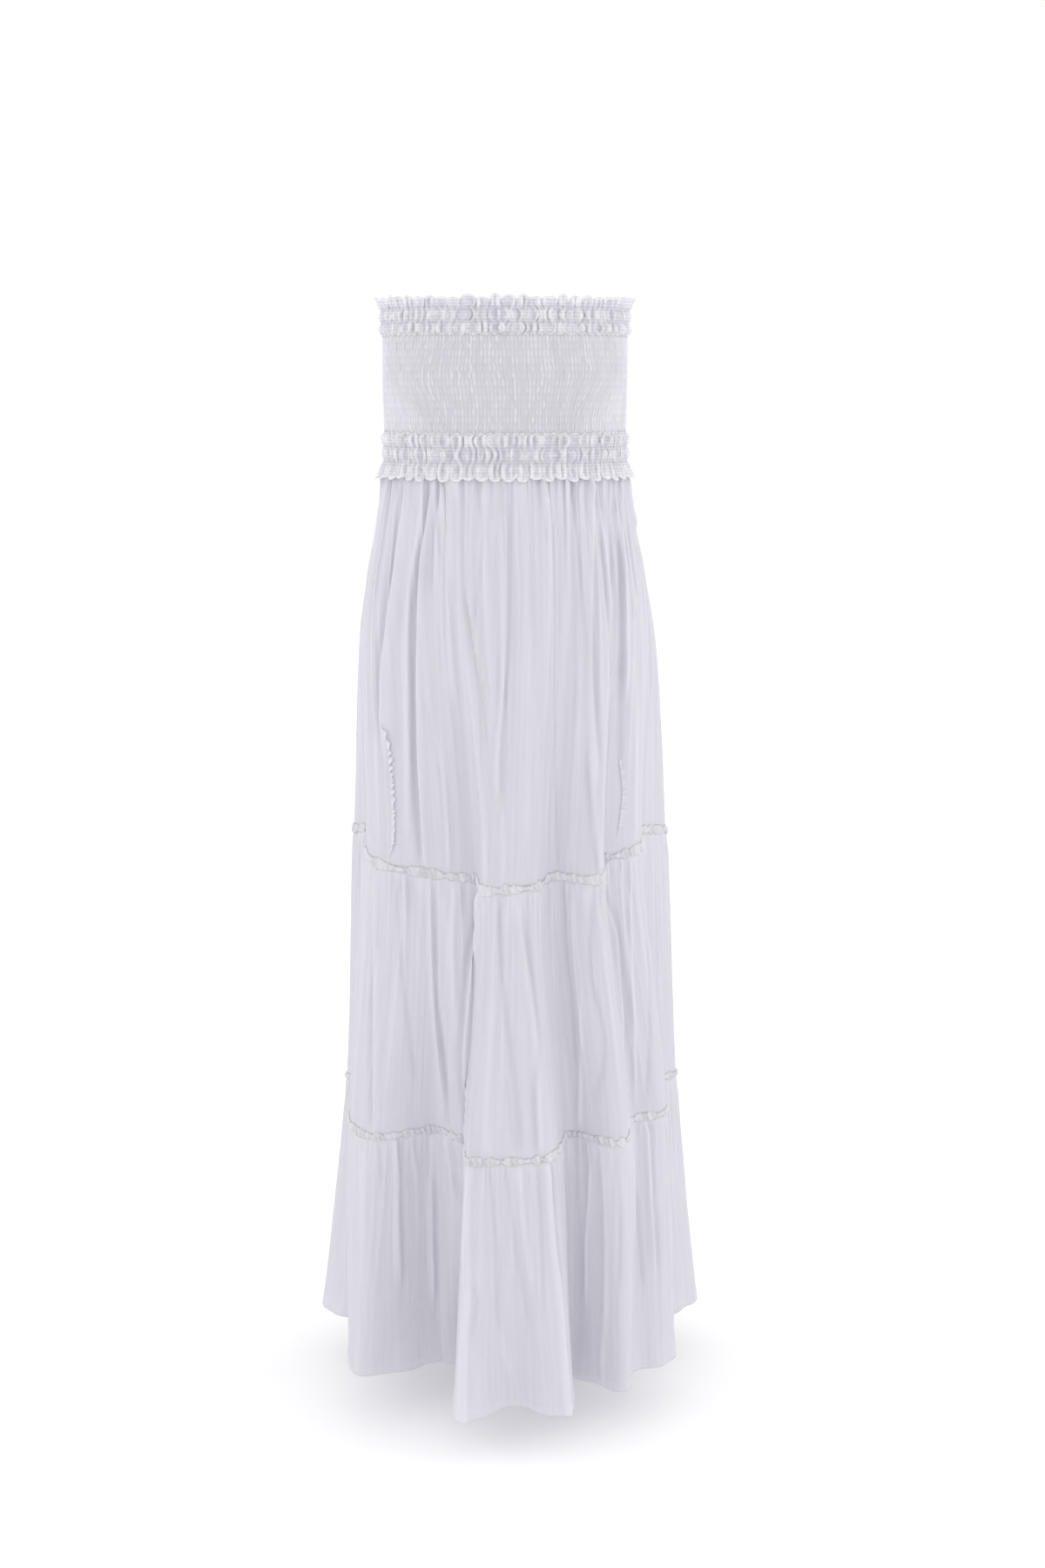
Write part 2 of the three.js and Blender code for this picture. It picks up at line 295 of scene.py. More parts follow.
@dataclass
class Figure(Outline):
    """The general figure under the cloth. A place is a share of a turn from the left side seam.

    Attributes:
        sections: Its outlines from the top down.
    """

    sections: Sequence[Section] = SECTIONS

    def read(self, key: str, z: Array) -> Array:
        """Reads one column of the sections at each height."""
        heights = [section.z for section in self.sections]
        return along(heights, [getattr(section, key) for section in self.sections], z)

    def radius(self, turn: Array, z: Array) -> Array:
        """Gives the outline's distance from the axis.

        Args:
            turn: Angle from the front, in radians.
            z: Height, in millimetres.

        Returns:
            The distance at each angle and height.
        """
        depth = np.where(np.cos(turn) >= 0, self.read("front", z), self.read("back", z))
        square = self.read("square", z)
        across = np.abs(np.sin(turn)) / self.read("wide", z)
        deep = np.abs(np.cos(turn)) / depth
        return (across**square + deep**square) ** (-1 / square)

    def point(self, place: Array, z: Array) -> Array:
        """Gives the figure's points, in millimetres."""
        around = np.radians(360 * place - 90)
        turn = np.arctan2(self.read("wide", z) * np.sin(around), self.read("front", z) * np.cos(around))
        radius = self.radius(turn, z)
        return np.stack([radius * np.sin(turn), -radius * np.cos(turn), z], axis=1)


@dataclass
class FoldedSkirt(Outline):
    """The skirt's large folds over the figure. A place counts fold rows from the left side seam.

    Attributes:
        figure: The figure under the folds.
        folds: The folds in order.
        probe: How far to either side the direction along the folds is felt.
        search: Steps in which a point is looked for across the front or the back.
    """

    figure: Figure
    folds: Sequence[Fold] = FOLDS
    probe = 0.04
    search = 900

    @property
    def turns(self) -> float:
        """How many fold rows there are all round."""
        return float(len(self.folds))

    def row_of(self, name: str) -> int:
        """Finds a fold row by its name."""
        return next(i for i, fold in enumerate(self.folds) if fold.name == name)

    def point(self, place: Array, z: Array) -> Array:
        """Gives the skirt's points, in millimetres, at nominal heights z."""
        count = len(self.folds)
        row = np.floor(place).astype(int)
        part = place - row
        turns = np.stack([along(FOLD_LEVELS, fold.turn, z) for fold in self.folds])
        outs = np.stack([along(FOLD_LEVELS, fold.out, z) for fold in self.folds])
        index = np.arange(len(z))
        here, there = row % count, (row + 1) % count
        first = turns[here, index] + 360 * (row // count)
        second = turns[there, index] + 360 * ((row + 1) // count)
        turn = np.radians(mix(first, second, part))
        out = mix(outs[here, index], outs[there, index], (1 - np.cos(np.pi * part)) / 2)
        radius = self.figure.radius(turn, z) + out
        hang = along(FOLD_LEVELS, HANG, z) * out
        lift = along(FOLD_LEVELS, SIDE_LIFT, z) * np.sin(turn) ** 2
        return np.stack([radius * np.sin(turn), -radius * np.cos(turn), z - hang + lift], axis=1)

    def place_of(self, x: float, z: float, side: Side) -> float:
        """Finds the place that shows at a point across the front or the back.

        Args:
            x: Distance across, in millimetres.
            z: Height.
            side: The side that is looked at.

        Returns:
            The place, on the fold nearest to the viewer.
        """
        seam = float(self.row_of("right valley"))
        first, last = (0.0, seam) if side is Side.FRONT else (seam, self.turns)
        places = np.linspace(first, last, self.search)
        points = self.point(places, np.full(len(places), z))
        ahead = points[:, 1] if side is Side.FRONT else -points[:, 1]
        crossings = np.nonzero(np.diff(np.sign(points[:, 0] - x)))[0]
        if not len(crossings):
            return float(places[np.argmin(np.abs(points[:, 0] - x))])
        i = min(crossings, key=lambda crossing: ahead[crossing])
        share = (x - points[i, 0]) / (points[i + 1, 0] - points[i, 0])
        return float(mix(places[i], places[i + 1], share))


@dataclass(frozen=True)
class Crease:
    """A single crease of the cloth, as it is seen from the front or the back.

    Attributes:
        path: Points (x, z) that it runs through, from its top end down, in millimetres.
        wide: Distance from its crest to its foot.
        rise: Height of the crest, or less than 0 for the depth of a trough.
        shade: The side where a shallow trough lies beside the crest: -1 is -x, 1 is +x, 0 is none.
        ease: Shortest and longest stretch over which an end fades.
        ended: Share of the crease's length that an end fades over, within those.
        valley: Width and depth of the shallow trough, as shares of the crest's.
        lean: How far the crest leans over the trough, as a share of its height.
        reach: How many widths away the crease is still felt.
    """

    path: tuple[tuple[float, float], ...]
    wide: float
    rise: float
    shade: int = 0
    ease = (12, 45)
    ended = 0.25
    valley = (1.3, 0.5)
    lean = 0.45
    reach = 6

    def relief(self, gap: Array, z: Array) -> tuple[Array, Array]:
        """Gives the crease's relief.

        Args:
            gap: Distance along the cloth from the crease's line to each point, growing to +x.
            z: Height of each point.

        Returns:
            How far each point stands out, and how far it shifts along the cloth.
        """
        top, foot = self.path[0][1], self.path[-1][1]
        fade = float(np.clip((top - foot) * self.ended, *self.ease)) / 2
        strength = smooth_step(-fade, fade, top - z) * smooth_step(-fade, fade, z - foot)
        crest = bell(gap, 0, self.wide)
        wide, deep = self.valley
        trough = bell(gap, 2 * self.shade * self.wide, wide * self.wide)
        rise = self.rise * strength * (crest - deep * abs(self.shade) * trough)
        return rise, self.lean * self.shade * self.rise * strength * crest


CREASES = {
    (1, Side.FRONT): (
        Crease(((-103, -186), (-111, -258), (-119, -313), (-130, -406), (-131, -470)), 5, 7, -1),
        Crease(((-77, -200), (-89, -283), (-92, -360), (-92, -483), (-86, -600)), 3, 4.5, -1),
        Crease(((-92, -230), (-105, -329), (-107, -406), (-106, -560)), 3.5, 3.2, 1),
        Crease(((-66, -180), (-72, -240), (-75, -300)), 2.4, 2.4, -1),
        Crease(((-58, -230), (-61, -329), (-56, -410)), 4, 2.2),
        Crease(((-53, -180), (-51, -240), (-51, -310)), 3, -2),
        Crease(((-44, -180), (-42, -313), (-33, -360), (-23, -470)), 2.5, -2.2),
        Crease(((-28, -180), (-23, -251), (-33, -345)), 2.5, -2.6),
        Crease(((-39, -305), (-30, -360), (-20, -406), (-14, -450)), 2.5, 3, -1),
        Crease(((-20, -265), (-16, -360), (-12, -425)), 2.5, 2.6),
        Crease(((-39, -380), (-30, -468), (-23, -529), (-21, -640)), 3, 2.8),
        Crease(((5, -175), (5, -298), (3, -375), (-2, -436), (-5, -530)), 2.6, -3.4),
        Crease(((-3, -230), (-2, -390), (-7, -452), (-9, -498), (-2, -545), (-4, -640)), 2.6, 3.4),
        Crease(((14, -180), (12, -240), (16, -320)), 2.4, 1.8),
        Crease(((46, -165), (52, -267), (53, -390), (55, -483), (59, -630)), 1.5, -2),
        Crease(((47, -500), (46, -640)), 2.2, 1.6),
        Crease(((36, -180), (44, -250)), 2, -2.2),
        Crease(((71, -180), (80, -267), (87, -344), (92, -406), (96, -468), (101, -590)), 3, -3),
        Crease(((91, -190), (91, -322), (92, -406), (99, -500)), 3, 4.5, 1),
        Crease(((105, -240), (111, -313), (115, -410)), 3, 4, -1),
        Crease(((125, -195), (130, -283), (133, -360), (134, -420)), 3.5, 4.5, -1),
        Crease(((138, -220), (138, -345)), 3, 3),
        Crease(((116, -215), (116, -310)), 4, -3),
        Crease(((127, -390), (127, -520)), 5, -4),
        Crease(((94, -480), (98, -530), (108, -640)), 2.6, 3.4, -1),
        Crease(((146, -430), (146, -600)), 4, 3),
        Crease(((-86, -425), (-67, -520)), 2, -1.6),
        Crease(((-70, -470), (-62, -560), (-60, -640)), 2.4, 1.6),
        Crease(((24, -330), (26, -430), (22, -560)), 5, 1.2),
    ),
    (2, Side.FRONT): (
        Crease(((-26, -605), (-31, -693), (-38, -756), (-41, -836), (-42, -940)), 4, 5, -1),
        Crease(((107, -600), (115, -677), (126, -756), (130, -810), (132, -920)), 3, 4, 1),
        Crease(((140, -610), (142, -772), (145, -880)), 2.5, 3),
        Crease(((-118, -640), (-113, -724), (-107, -772), (-99, -840)), 2.5, -2.6),
        Crease(((-83, -605), (-82, -677), (-78, -772), (-68, -870)), 2.5, 3, 1),
        Crease(((-75, -755), (-66, -851), (-63, -930)), 3, -3),
        Crease(((-111, -600), (-108, -660)), 2, 2.6),
        Crease(((-143, -660), (-143, -804), (-142, -890)), 3, 3.5, -1),
        Crease(((-7, -615), (-2, -708), (5, -772), (11, -820), (17, -885)), 3.5, -3.6),
        Crease(((12, -625), (24, -708), (33, -780)), 3, 3.2, 1),
        Crease(((52, -610), (54, -740)), 2.2, 2.2),
        Crease(((64, -605), (68, -708), (73, -756), (76, -820)), 2.5, -3),
        Crease(((95, -640), (93, -715), (104, -760), (109, -804), (99, -860)), 3, -3),
        Crease(((83, -735), (83, -836), (80, -910)), 2.5, 2.2),
        Crease(((36, -815), (41, -930)), 2.2, 2.6, -1),
        Crease(((2, -815), (17, -930)), 2.5, -2),
        Crease(((158, -630), (158, -890)), 3, -3),
        Crease(((173, -600), (173, -730)), 3, -2.6),
        Crease(((-55, -620), (-57, -700), (-52, -790)), 3.5, 1.8),
        Crease(((-14, -730), (-20, -840), (-16, -930)), 4, 1.6),
    ),
    (3, Side.FRONT): (
        Crease(((-36, -880), (-41, -949), (-43, -991), (-42, -1051), (-45, -1110), (-46, -1230)), 4, 4.2),
        Crease(((45, -900), (51, -994), (59, -1061), (64, -1127), (70, -1230)), 3.5, 5, 1),
        Crease(((-16, -905), (-12, -968), (-8, -1028), (-7, -1120)), 3, -2.6),
        Crease(((0, -900), (7, -968), (14, -1021), (26, -1100)), 3, -2.6),
        Crease(((12, -905), (22, -994), (29, -1050)), 3, 2.6),
        Crease(((35, -900), (41, -994), (41, -1085)), 2.6, -2.2),
        Crease(((-48, -985), (-38, -1044), (-36, -1105)), 2.6, -3),
        Crease(((-70, -880), (-57, -980)), 3, 3, 1),
        Crease(((-124, -890), (-120, -949), (-121, -994), (-120, -1085)), 3, 2.6, 1),
        Crease(((-108, -885), (-99, -960)), 2.6, 2.2),
        Crease(((-143, -870), (-137, -965)), 2.4, -2.2),
        Crease(((-84, -970), (-83, -1120)), 3, 2.6, 1),
        Crease(((95, -945), (91, -1028), (91, -1100)), 3, 2.6),
        Crease(((129, -970), (126, -1075)), 3, -2.6),
        Crease(((143, -945), (145, -1035)), 2.6, 2.2),
        Crease(((148, -990), (156, -1100)), 3, -3.4),
        Crease(((153, -860), (160, -955), (163, -1000), (169, -1085)), 3, 3.4, 1),
        Crease(((184, -930), (191, -1000)), 2.6, -2.2),
        Crease(((-10, -1100), (8, -1170)), 4, 1.4),
        Crease(((104, -880), (110, -960), (112, -1080), (108, -1200)), 4, 1.8),
    ),
    (1, Side.BACK): (
        Crease(((-112, -185), (-120, -330), (-124, -500)), 4, 5, -1),
        Crease(((-80, -185), (-84, -300), (-78, -430), (-80, -620)), 3, 4, 1),
        Crease(((-52, -180), (-50, -290), (-58, -420)), 2.6, -3),
        Crease(((-34, -240), (-30, -380), (-38, -560)), 3, 2.6),
        Crease(((-20, -178), (-14, -300), (-20, -450), (-16, -640)), 3, 4, -1),
        Crease(((12, -178), (18, -280), (8, -420)), 2.6, -3),
        Crease(((34, -190), (40, -350), (36, -520)), 3, 3.4),
        Crease(((66, -178), (70, -300), (78, -420), (74, -620)), 3, -3.4),
        Crease(((95, -190), (104, -320), (108, -490)), 3.4, 4.4, 1),
        Crease(((124, -200), (134, -350)), 3, 3),
        Crease(((88, -440), (84, -640)), 3, 2.8, -1),
        Crease(((-62, -450), (-56, -640)), 2.6, 2.4),
    ),
    (2, Side.BACK): (
        Crease(((-128, -605), (-134, -720), (-130, -900)), 3.4, 4, -1),
        Crease(((-92, -605), (-88, -700), (-96, -820)), 3, -3),
        Crease(((-58, -600), (-62, -720), (-70, -930)), 3.4, 4, 1),
        Crease(((-28, -605), (-22, -690), (-26, -790)), 2.6, -2.6),
        Crease(((4, -600), (-4, -720), (2, -940)), 3.4, 4.2, -1),
        Crease(((36, -605), (42, -730), (36, -860)), 3, -3),
        Crease(((70, -600), (78, -760), (74, -930)), 3, 3.4),
        Crease(((108, -605), (104, -720), (112, -880)), 3, 3.6, 1),
        Crease(((142, -610), (150, -800)), 3, -2.8),
    ),
    (3, Side.BACK): (
        Crease(((-140, -885), (-150, -1000), (-148, -1230)), 3.6, 4, -1),
        Crease(((-102, -890), (-98, -980), (-106, -1100)), 3, -2.8),
        Crease(((-66, -885), (-74, -1010), (-70, -1230)), 3.4, 4, 1),
        Crease(((-30, -890), (-24, -1000), (-30, -1110)), 3, -2.6),
        Crease(((4, -885), (-2, -1020), (4, -1230)), 3.6, 4.4, -1),
        Crease(((38, -890), (46, -1000), (42, -1120)), 3, -2.8),
        Crease(((78, -885), (86, -1040), (82, -1230)), 3.4, 3.8, 1),
        Crease(((118, -890), (124, -1010), (118, -1150)), 3, 2.8),
        Crease(((156, -890), (164, -1060)), 3, -2.6),
    ),
}


@dataclass(frozen=True)
class Pleats:
    """A family of soft ridges that run down the cloth, each of its own size.

    Attributes:
        seed: Start of the random draws.
        pitch: Mean distance between ridges along the cloth, in millimetres.
        height: Lowest and highest ridge.
        width: Narrowest and widest ridge, from its crest to its foot.
        start: How far below the seam ridges begin, least and most.
        reach: How far they run, least and most.
        sway: How far a ridge wanders sideways.
        lean: How far a crest leans over for each millimetre of height.
        jitter: How far a ridge may lie from even spacing, in pitches.
        bend: Shortest and longest stretch that a wander takes.
        onset: Where a ridge rises round its start.
        felt: How many widths away a ridge is still felt.
    """

    seed: int
    pitch: float
    height: tuple[float, float]
    width: tuple[float, float]
    start: tuple[float, float]
    reach: tuple[float, float]
    sway: float = 1.5
    lean: float = 0.5
    jitter = 0.45
    bend = (60, 150)
    onset = (-4, 8)
    felt = 3

    def relief(self, arc: Array, below: Array, girth: float) -> tuple[Array, Array]:
        """Adds up the ridges.

        Args:
            arc: Length along the cloth to each point.
            below: How far each point is below the seam.
            girth: Length of the cloth all round.

        Returns:
            How far each point stands out, and how far it shifts along the cloth.
        """
        rng = np.random.default_rng(self.seed)
        count = round(girth / self.pitch)
        centres = np.arange(count) + rng.uniform(-self.jitter, self.jitter, count)
        centres = centres * girth / count
        draws = {
            key: rng.uniform(*getattr(self, key), count)
            for key in ("height", "width", "start", "reach")
        }
        phases = rng.uniform(0, 2 * np.pi, count)
        waves = rng.uniform(*self.bend, count)
        leans = rng.choice([-1, 1], count) * self.lean
        rise = np.zeros_like(arc)
        shift = np.zeros_like(arc)
        for i, centre in enumerate(centres):
            line = centre + self.sway * np.sin(below / waves[i] + phases[i])
            gap = np.abs((arc - line + girth / 2) % girth - girth / 2)
            near = gap < self.felt * draws["width"][i]
            run = below[near] - draws["start"][i]
            fade = smooth_step(*self.onset, run) * bell(np.maximum(run, 0), 0, draws["reach"][i])
            ridge = draws["height"][i] * fade * bell(gap[near], 0, draws["width"][i])
            rise[near] += ridge
            shift[near] += leans[i] * ridge
        return rise, shift


def lay_cloth(name: str, columns: int, lines: Array, place: Place, closed: bool) -> bpy.types.Object:
    """Makes a grid of cloth and lays each of its points by a rule.

    Args:
        name: The piece's name.
        columns: Faces across the grid.
        lines: The rule's second value on each line of the grid, from the lowest line up.
        place: Turns shares across and line values into points in millimetres, cloth coordinates and
        how bunched the threads are, with the painted shade and highlight of the folds.
        closed: Whether the grid's ends are joined into a ring.

    Returns:
        The piece, in metres, with its cloth coordinates as a UV map.
    """
    grid = bmesh.new()
    rows = len(lines) - 1
    bmesh.ops.create_grid(grid, x_segments=columns, y_segments=rows, size=0.5)
    mesh = bpy.data.meshes.new(name)
    grid.to_mesh(mesh)
    grid.free()
    flat = np.empty(len(mesh.vertices) * 3)
    mesh.vertices.foreach_get("co", flat)
    shares = flat.reshape(-1, 3)[:, :2] + 0.5
    points, cloth, bunch_and_shade = place(shares[:, 0], lines[np.round(shares[:, 1] * rows).astype(int)])
    mesh.vertices.foreach_set("co", (points * MM).ravel())
    corners = np.empty(len(mesh.loops), int)
    mesh.loops.foreach_get("vertex_index", corners)
    mesh.uv_layers.new(name=CLOTH_UV).data.foreach_set("uv", (cloth[corners] * MM).ravel())
    mesh.attributes.new(BUNCH_AND_SHADE, "FLOAT", "POINT").data.foreach_set("value", np.clip(bunch_and_shade, 0, 1))
    if closed:
        ring = bmesh.new()
        ring.from_mesh(mesh)
        bmesh.ops.remove_doubles(ring, verts=ring.verts, dist=WELD * MM)
        ring.to_mesh(mesh)
        ring.free()
    mesh.shade_smooth()
    piece = bpy.data.objects.new(name, mesh)
    bpy.context.scene.collection.objects.link(piece)
    return piece


def finish_cloth(
    piece: bpy.types.Object, cloth: bpy.types.Material, thick: float, nodes: Sequence[str]
) -> None:
    """Gives a piece its thickness and finish, and hides the solids that it stands for.

    Args:
        piece: The piece.
        cloth: Its material.
        thick: The cloth's thickness, in millimetres.
        nodes: The solids that it replaces.
    """
    shell = piece.modifiers.new("thickness", "SOLIDIFY")
    shell.thickness = thick * MM
    shell.offset = -1
    piece.data.materials.append(cloth)
    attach(piece, BODY)
    if nodes:
        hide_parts(*nodes)
    LOG.info("%s: %d faces", piece.name, len(piece.data.polygons))


class Nodes:
    """A material's node tree, built node by node."""

    def __init__(self, name: str) -> None:
        """Starts an empty material."""
        self.material = bpy.data.materials.new(name)
        self.material.use_nodes = True
        self.tree = self.material.node_tree
        self.tree.nodes.clear()

    def add(self, kind: str, inputs: dict | None = None, **settings: object) -> bpy.types.Node:
        """Adds a node.

        Args:
            kind: The node's type.
            inputs: Values or output sockets, by input name or number.
            settings: The node's own settings.

        Returns:
            The node.
        """
        node = self.tree.nodes.new(kind)
        for key, value in settings.items():
            setattr(node, key, value)
        for key, value in (inputs or {}).items():
            if isinstance(value, bpy.types.NodeSocket):
                self.tree.links.new(value, node.inputs[key])
            else:
                node.inputs[key].default_value = value
        return node

    def cloth_point(self, scale: tuple[float, float]) -> bpy.types.NodeSocket:
        """Gives the cloth's own coordinates, scaled by cells for each metre across and along it."""
        uv = self.add("ShaderNodeUVMap", uv_map=CLOTH_UV)
        return self.add(
            "ShaderNodeMapping", {"Vector": uv.outputs["UV"], "Scale": (*scale, 1)}
        ).outputs["Vector"]

    def cloth_noise(self, scale: tuple[float, float], detail: float) -> bpy.types.NodeSocket:
        """Adds noise that is stretched along the cloth.

        Args:
            scale: Cells for each metre across and along the cloth.
            detail: Octaves of finer noise.

        Returns:
            The noise's value.
        """
        inputs = {"Vector": self.cloth_point(scale), "Scale": 1, "Detail": detail}
        return self.add("ShaderNodeTexNoise", inputs, noise_dimensions="2D").outputs["Fac"]

    def bunch_and_shade(self) -> bpy.types.NodeSocket:
        """Reads how bunched the threads are, with the painted shade and highlight of the folds."""
        return self.add("ShaderNodeAttribute", attribute_name=BUNCH_AND_SHADE).outputs["Fac"]

    def plus(
        self, value: bpy.types.NodeSocket, other: bpy.types.NodeSocket, share: float
    ) -> bpy.types.NodeSocket:
        """Adds a share of another value, taken from its middle, to a value."""
        centred = self.add(
            "ShaderNodeMath", {0: other, 1: share, 2: -share / 2}, operation="MULTIPLY_ADD"
        )
        return self.add("ShaderNodeMath", {0: value, 1: centred.outputs[0]}, operation="ADD").outputs[0]

    def ramp(
        self, value: bpy.types.NodeSocket, span: tuple[float, float], ends: tuple[float, float]
    ) -> bpy.types.NodeSocket:
        """Maps a span of a value to two ends, and holds it there."""
        low, high = span
        return self.add(
            "ShaderNodeMapRange",
            {"Value": value, "From Min": low, "From Max": high, "To Min": ends[0], "To Max": ends[1]},
        ).outputs["Result"]

    def blend(
        self, share: bpy.types.NodeSocket, low: tuple[float, ...], high: tuple[float, ...]
    ) -> bpy.types.NodeSocket:
        """Mixes two colours."""
        inputs = {"Factor": share, 6: low, 7: high}
        return self.add("ShaderNodeMix", inputs, data_type="RGBA").outputs[2]

    def bump(
        self, height: bpy.types.NodeSocket, depth: float, under: bpy.types.NodeSocket | None = None
    ) -> bpy.types.NodeSocket:
        """Adds relief of a depth in millimetres, on other relief where there is some."""
        inputs = {"Height": height, "Distance": depth * MM, "Strength": 1.0}
        if under is not None:
            inputs["Normal"] = under
        return self.add("ShaderNodeBump", inputs).outputs["Normal"]

    def cloth(
        self,
        colour: bpy.types.NodeSocket,
        through: tuple[float, ...],
        glow: float,
        gaps: bpy.types.NodeSocket,
        relief: bpy.types.NodeSocket,
    ) -> bpy.types.Material:
        """Finishes the material as thin woven cloth.

        Args:
            colour: Colour of the threads.
            through: Colour of the light that comes through them.
            glow: Share of that light.
            gaps: Share of open gaps between the threads.
            relief: The bent normal.

        Returns:
            The material.
        """
        threads = self.add(
            "ShaderNodeBsdfPrincipled",
            {
                "Base Color": colour,
                "Roughness": 0.9,
                "Normal": relief,
                "Sheen Weight": 0.1,
                "Sheen Roughness": 0.5,
                "Specular IOR Level": 0.2,
            },
        )
        light = self.add("ShaderNodeBsdfTranslucent", {"Color": through, "Normal": relief})
        woven = self.add("ShaderNodeMixShader", {0: glow, 1: threads.outputs[0], 2: light.outputs[0]})
        hole = self.add("ShaderNodeBsdfTransparent")
        whole = self.add("ShaderNodeMixShader", {0: gaps, 1: woven.outputs[0], 2: hole.outputs[0]})
        self.add("ShaderNodeOutputMaterial", {"Surface": whole.outputs[0]})
        return self.material


@dataclass(frozen=True)
class CrinkledGauze:
    """Thin white cotton gauze with crepe crinkles along the cloth, half sheer.

    Attributes:
        name: The material's name.
        thin: Colour where the cloth lies flat and single, which also paints shade in the troughs of
            folds.
        bunched: Colour where it is folded or gathered, which also paints highlight on the crests of
            folds.
        through: Colour of the light that comes through.
        glow: Share of that light.
        sheer: Share of open gaps, where the cloth is bunched and where it is flat.
        crinkle: Depth of the fine and the broad crinkles, in millimetres.
        weave: Depth of the weave.
        streaked: Share of streaks in the threads' colour.
    """

    name: str = "crinkled_gauze"
    thin: tuple[float, ...] = (0.752, 0.748, 0.785, 1)
    bunched: tuple[float, ...] = (0.945, 0.938, 0.98, 1)
    through: tuple[float, ...] = (0.825, 0.818, 0.868, 1)
    glow: float = 0.4
    sheer: tuple[float, float] = (0.02, 0.1)
    crinkle: tuple[float, float] = (0.28, 0.35)
    weave: float = 0.03
    streaked: float = 0.45

    def material(self) -> bpy.types.Material:
        """Builds the material."""
        nodes = Nodes(self.name)
        streaks = nodes.cloth_noise((210, 9), 4)
        crepe = nodes.cloth_noise((560, 45), 3)
        broad = nodes.cloth_noise((150, 14), 3)
        weave = nodes.cloth_noise((2200, 2200), 0)
        relief = nodes.bump(weave, self.weave)
        relief = nodes.bump(crepe, self.crinkle[0], relief)
        relief = nodes.bump(broad, self.crinkle[1], relief)
        # The colour runs from thin to bunched as the threads gather, so it also paints shade in troughs
        # and highlight on crests.
        thick = nodes.plus(nodes.bunch_and_shade(), streaks, self.streaked)
        colour = nodes.blend(nodes.ramp(thick, (0, 1), (0, 1)), self.thin, self.bunched)
        gaps = nodes.ramp(thick, (0, 1), (self.sheer[1], self.sheer[0]))
        return nodes.cloth(colour, self.through, self.glow, gaps, relief)


@dataclass(frozen=True)
class EyeletLace:
    """Cotton lace: level bars of thread, sprigs and rows of small eyelets, bunched by the gathers.

    Attributes:
        name: The material's name.
        ground: Colour in the hollows, where it paints shade.
        raised: Colour of the raised threads, where it paints highlight.
        through: Colour of the light that comes through.
        glow: Share of that light.
        cell: Distance between eyelets, in millimetres.
        eyelet: An eyelet's share of a cell.
        edge: Softness of its edge and width of its rim, as shares of a cell.
        open: How open the eyelets and the ground are.
        bar: Distance between bars of thread, in millimetres.
        depths: Depth of the threads, the bars, the eyelets' rims and the crumples, in millimetres.
        shares: Their shares in the colour, so that the relief's hollows carry painted shade and its
            raised parts painted highlight.
    """

    name: str = "eyelet_lace"
    ground: tuple[float, ...] = (0.62, 0.61, 0.675, 1)
    raised: tuple[float, ...] = (0.98, 0.968, 1.0, 1)
    through: tuple[float, ...] = (0.85, 0.84, 0.93, 1)
    glow: float = 0.22
    cell: float = 4.2
    eyelet: float = 0.15
    edge: tuple[float, float] = (0.06, 0.22)
    open: tuple[float, float] = (0.3, 0.02)
    bar: float = 1.7
    depths: tuple[float, ...] = (0.12, 0.2, 0.1, 1.2)
    shares: tuple[float, ...] = (0.4, 0.3, 0.2, 1.0)

    def material(self) -> bpy.types.Material:
        """Builds the material."""
        nodes = Nodes(self.name)
        cells = nodes.add(
            "ShaderNodeTexVoronoi",
            {"Vector": nodes.cloth_point((1 / (self.cell * MM),) * 2), "Scale": 1, "Randomness": 0.6},
            voronoi_dimensions="2D",
        )
        distance = cells.outputs["Distance"]
        bars = nodes.add(
            "ShaderNodeTexWave",
            {
                "Vector": nodes.cloth_point((150, 1 / (self.bar * MM))),
                "Scale": 1 / math.tau,
                "Distortion": 1.2,
                "Detail": 1,
            },
            bands_direction="Y",
        )
        threads = nodes.cloth_noise((900, 500), 2)
        crumple = nodes.cloth_noise((300, 170), 3)
        corded = nodes.ramp(distance, (self.eyelet, self.eyelet + self.edge[1]), (1, 0))
        forms = (threads, bars.outputs["Fac"], corded, crumple)
        relief = None
        # Each form both bumps the lace and lightens its colour. This paints shade in the hollows and
        # highlight on the raised threads, over how bunched the lace is.
        thick = nodes.bunch_and_shade()
        for form, depth, share in zip(forms, self.depths, self.shares):
            relief = nodes.bump(form, depth, relief)
            thick = nodes.plus(thick, form, share)
        colour = nodes.blend(nodes.ramp(thick, (0, 1), (0, 1)), self.ground, self.raised)
        gaps = nodes.ramp(distance, (self.eyelet - self.edge[0], self.eyelet), self.open)
        return nodes.cloth(colour, self.through, self.glow, gaps, relief)


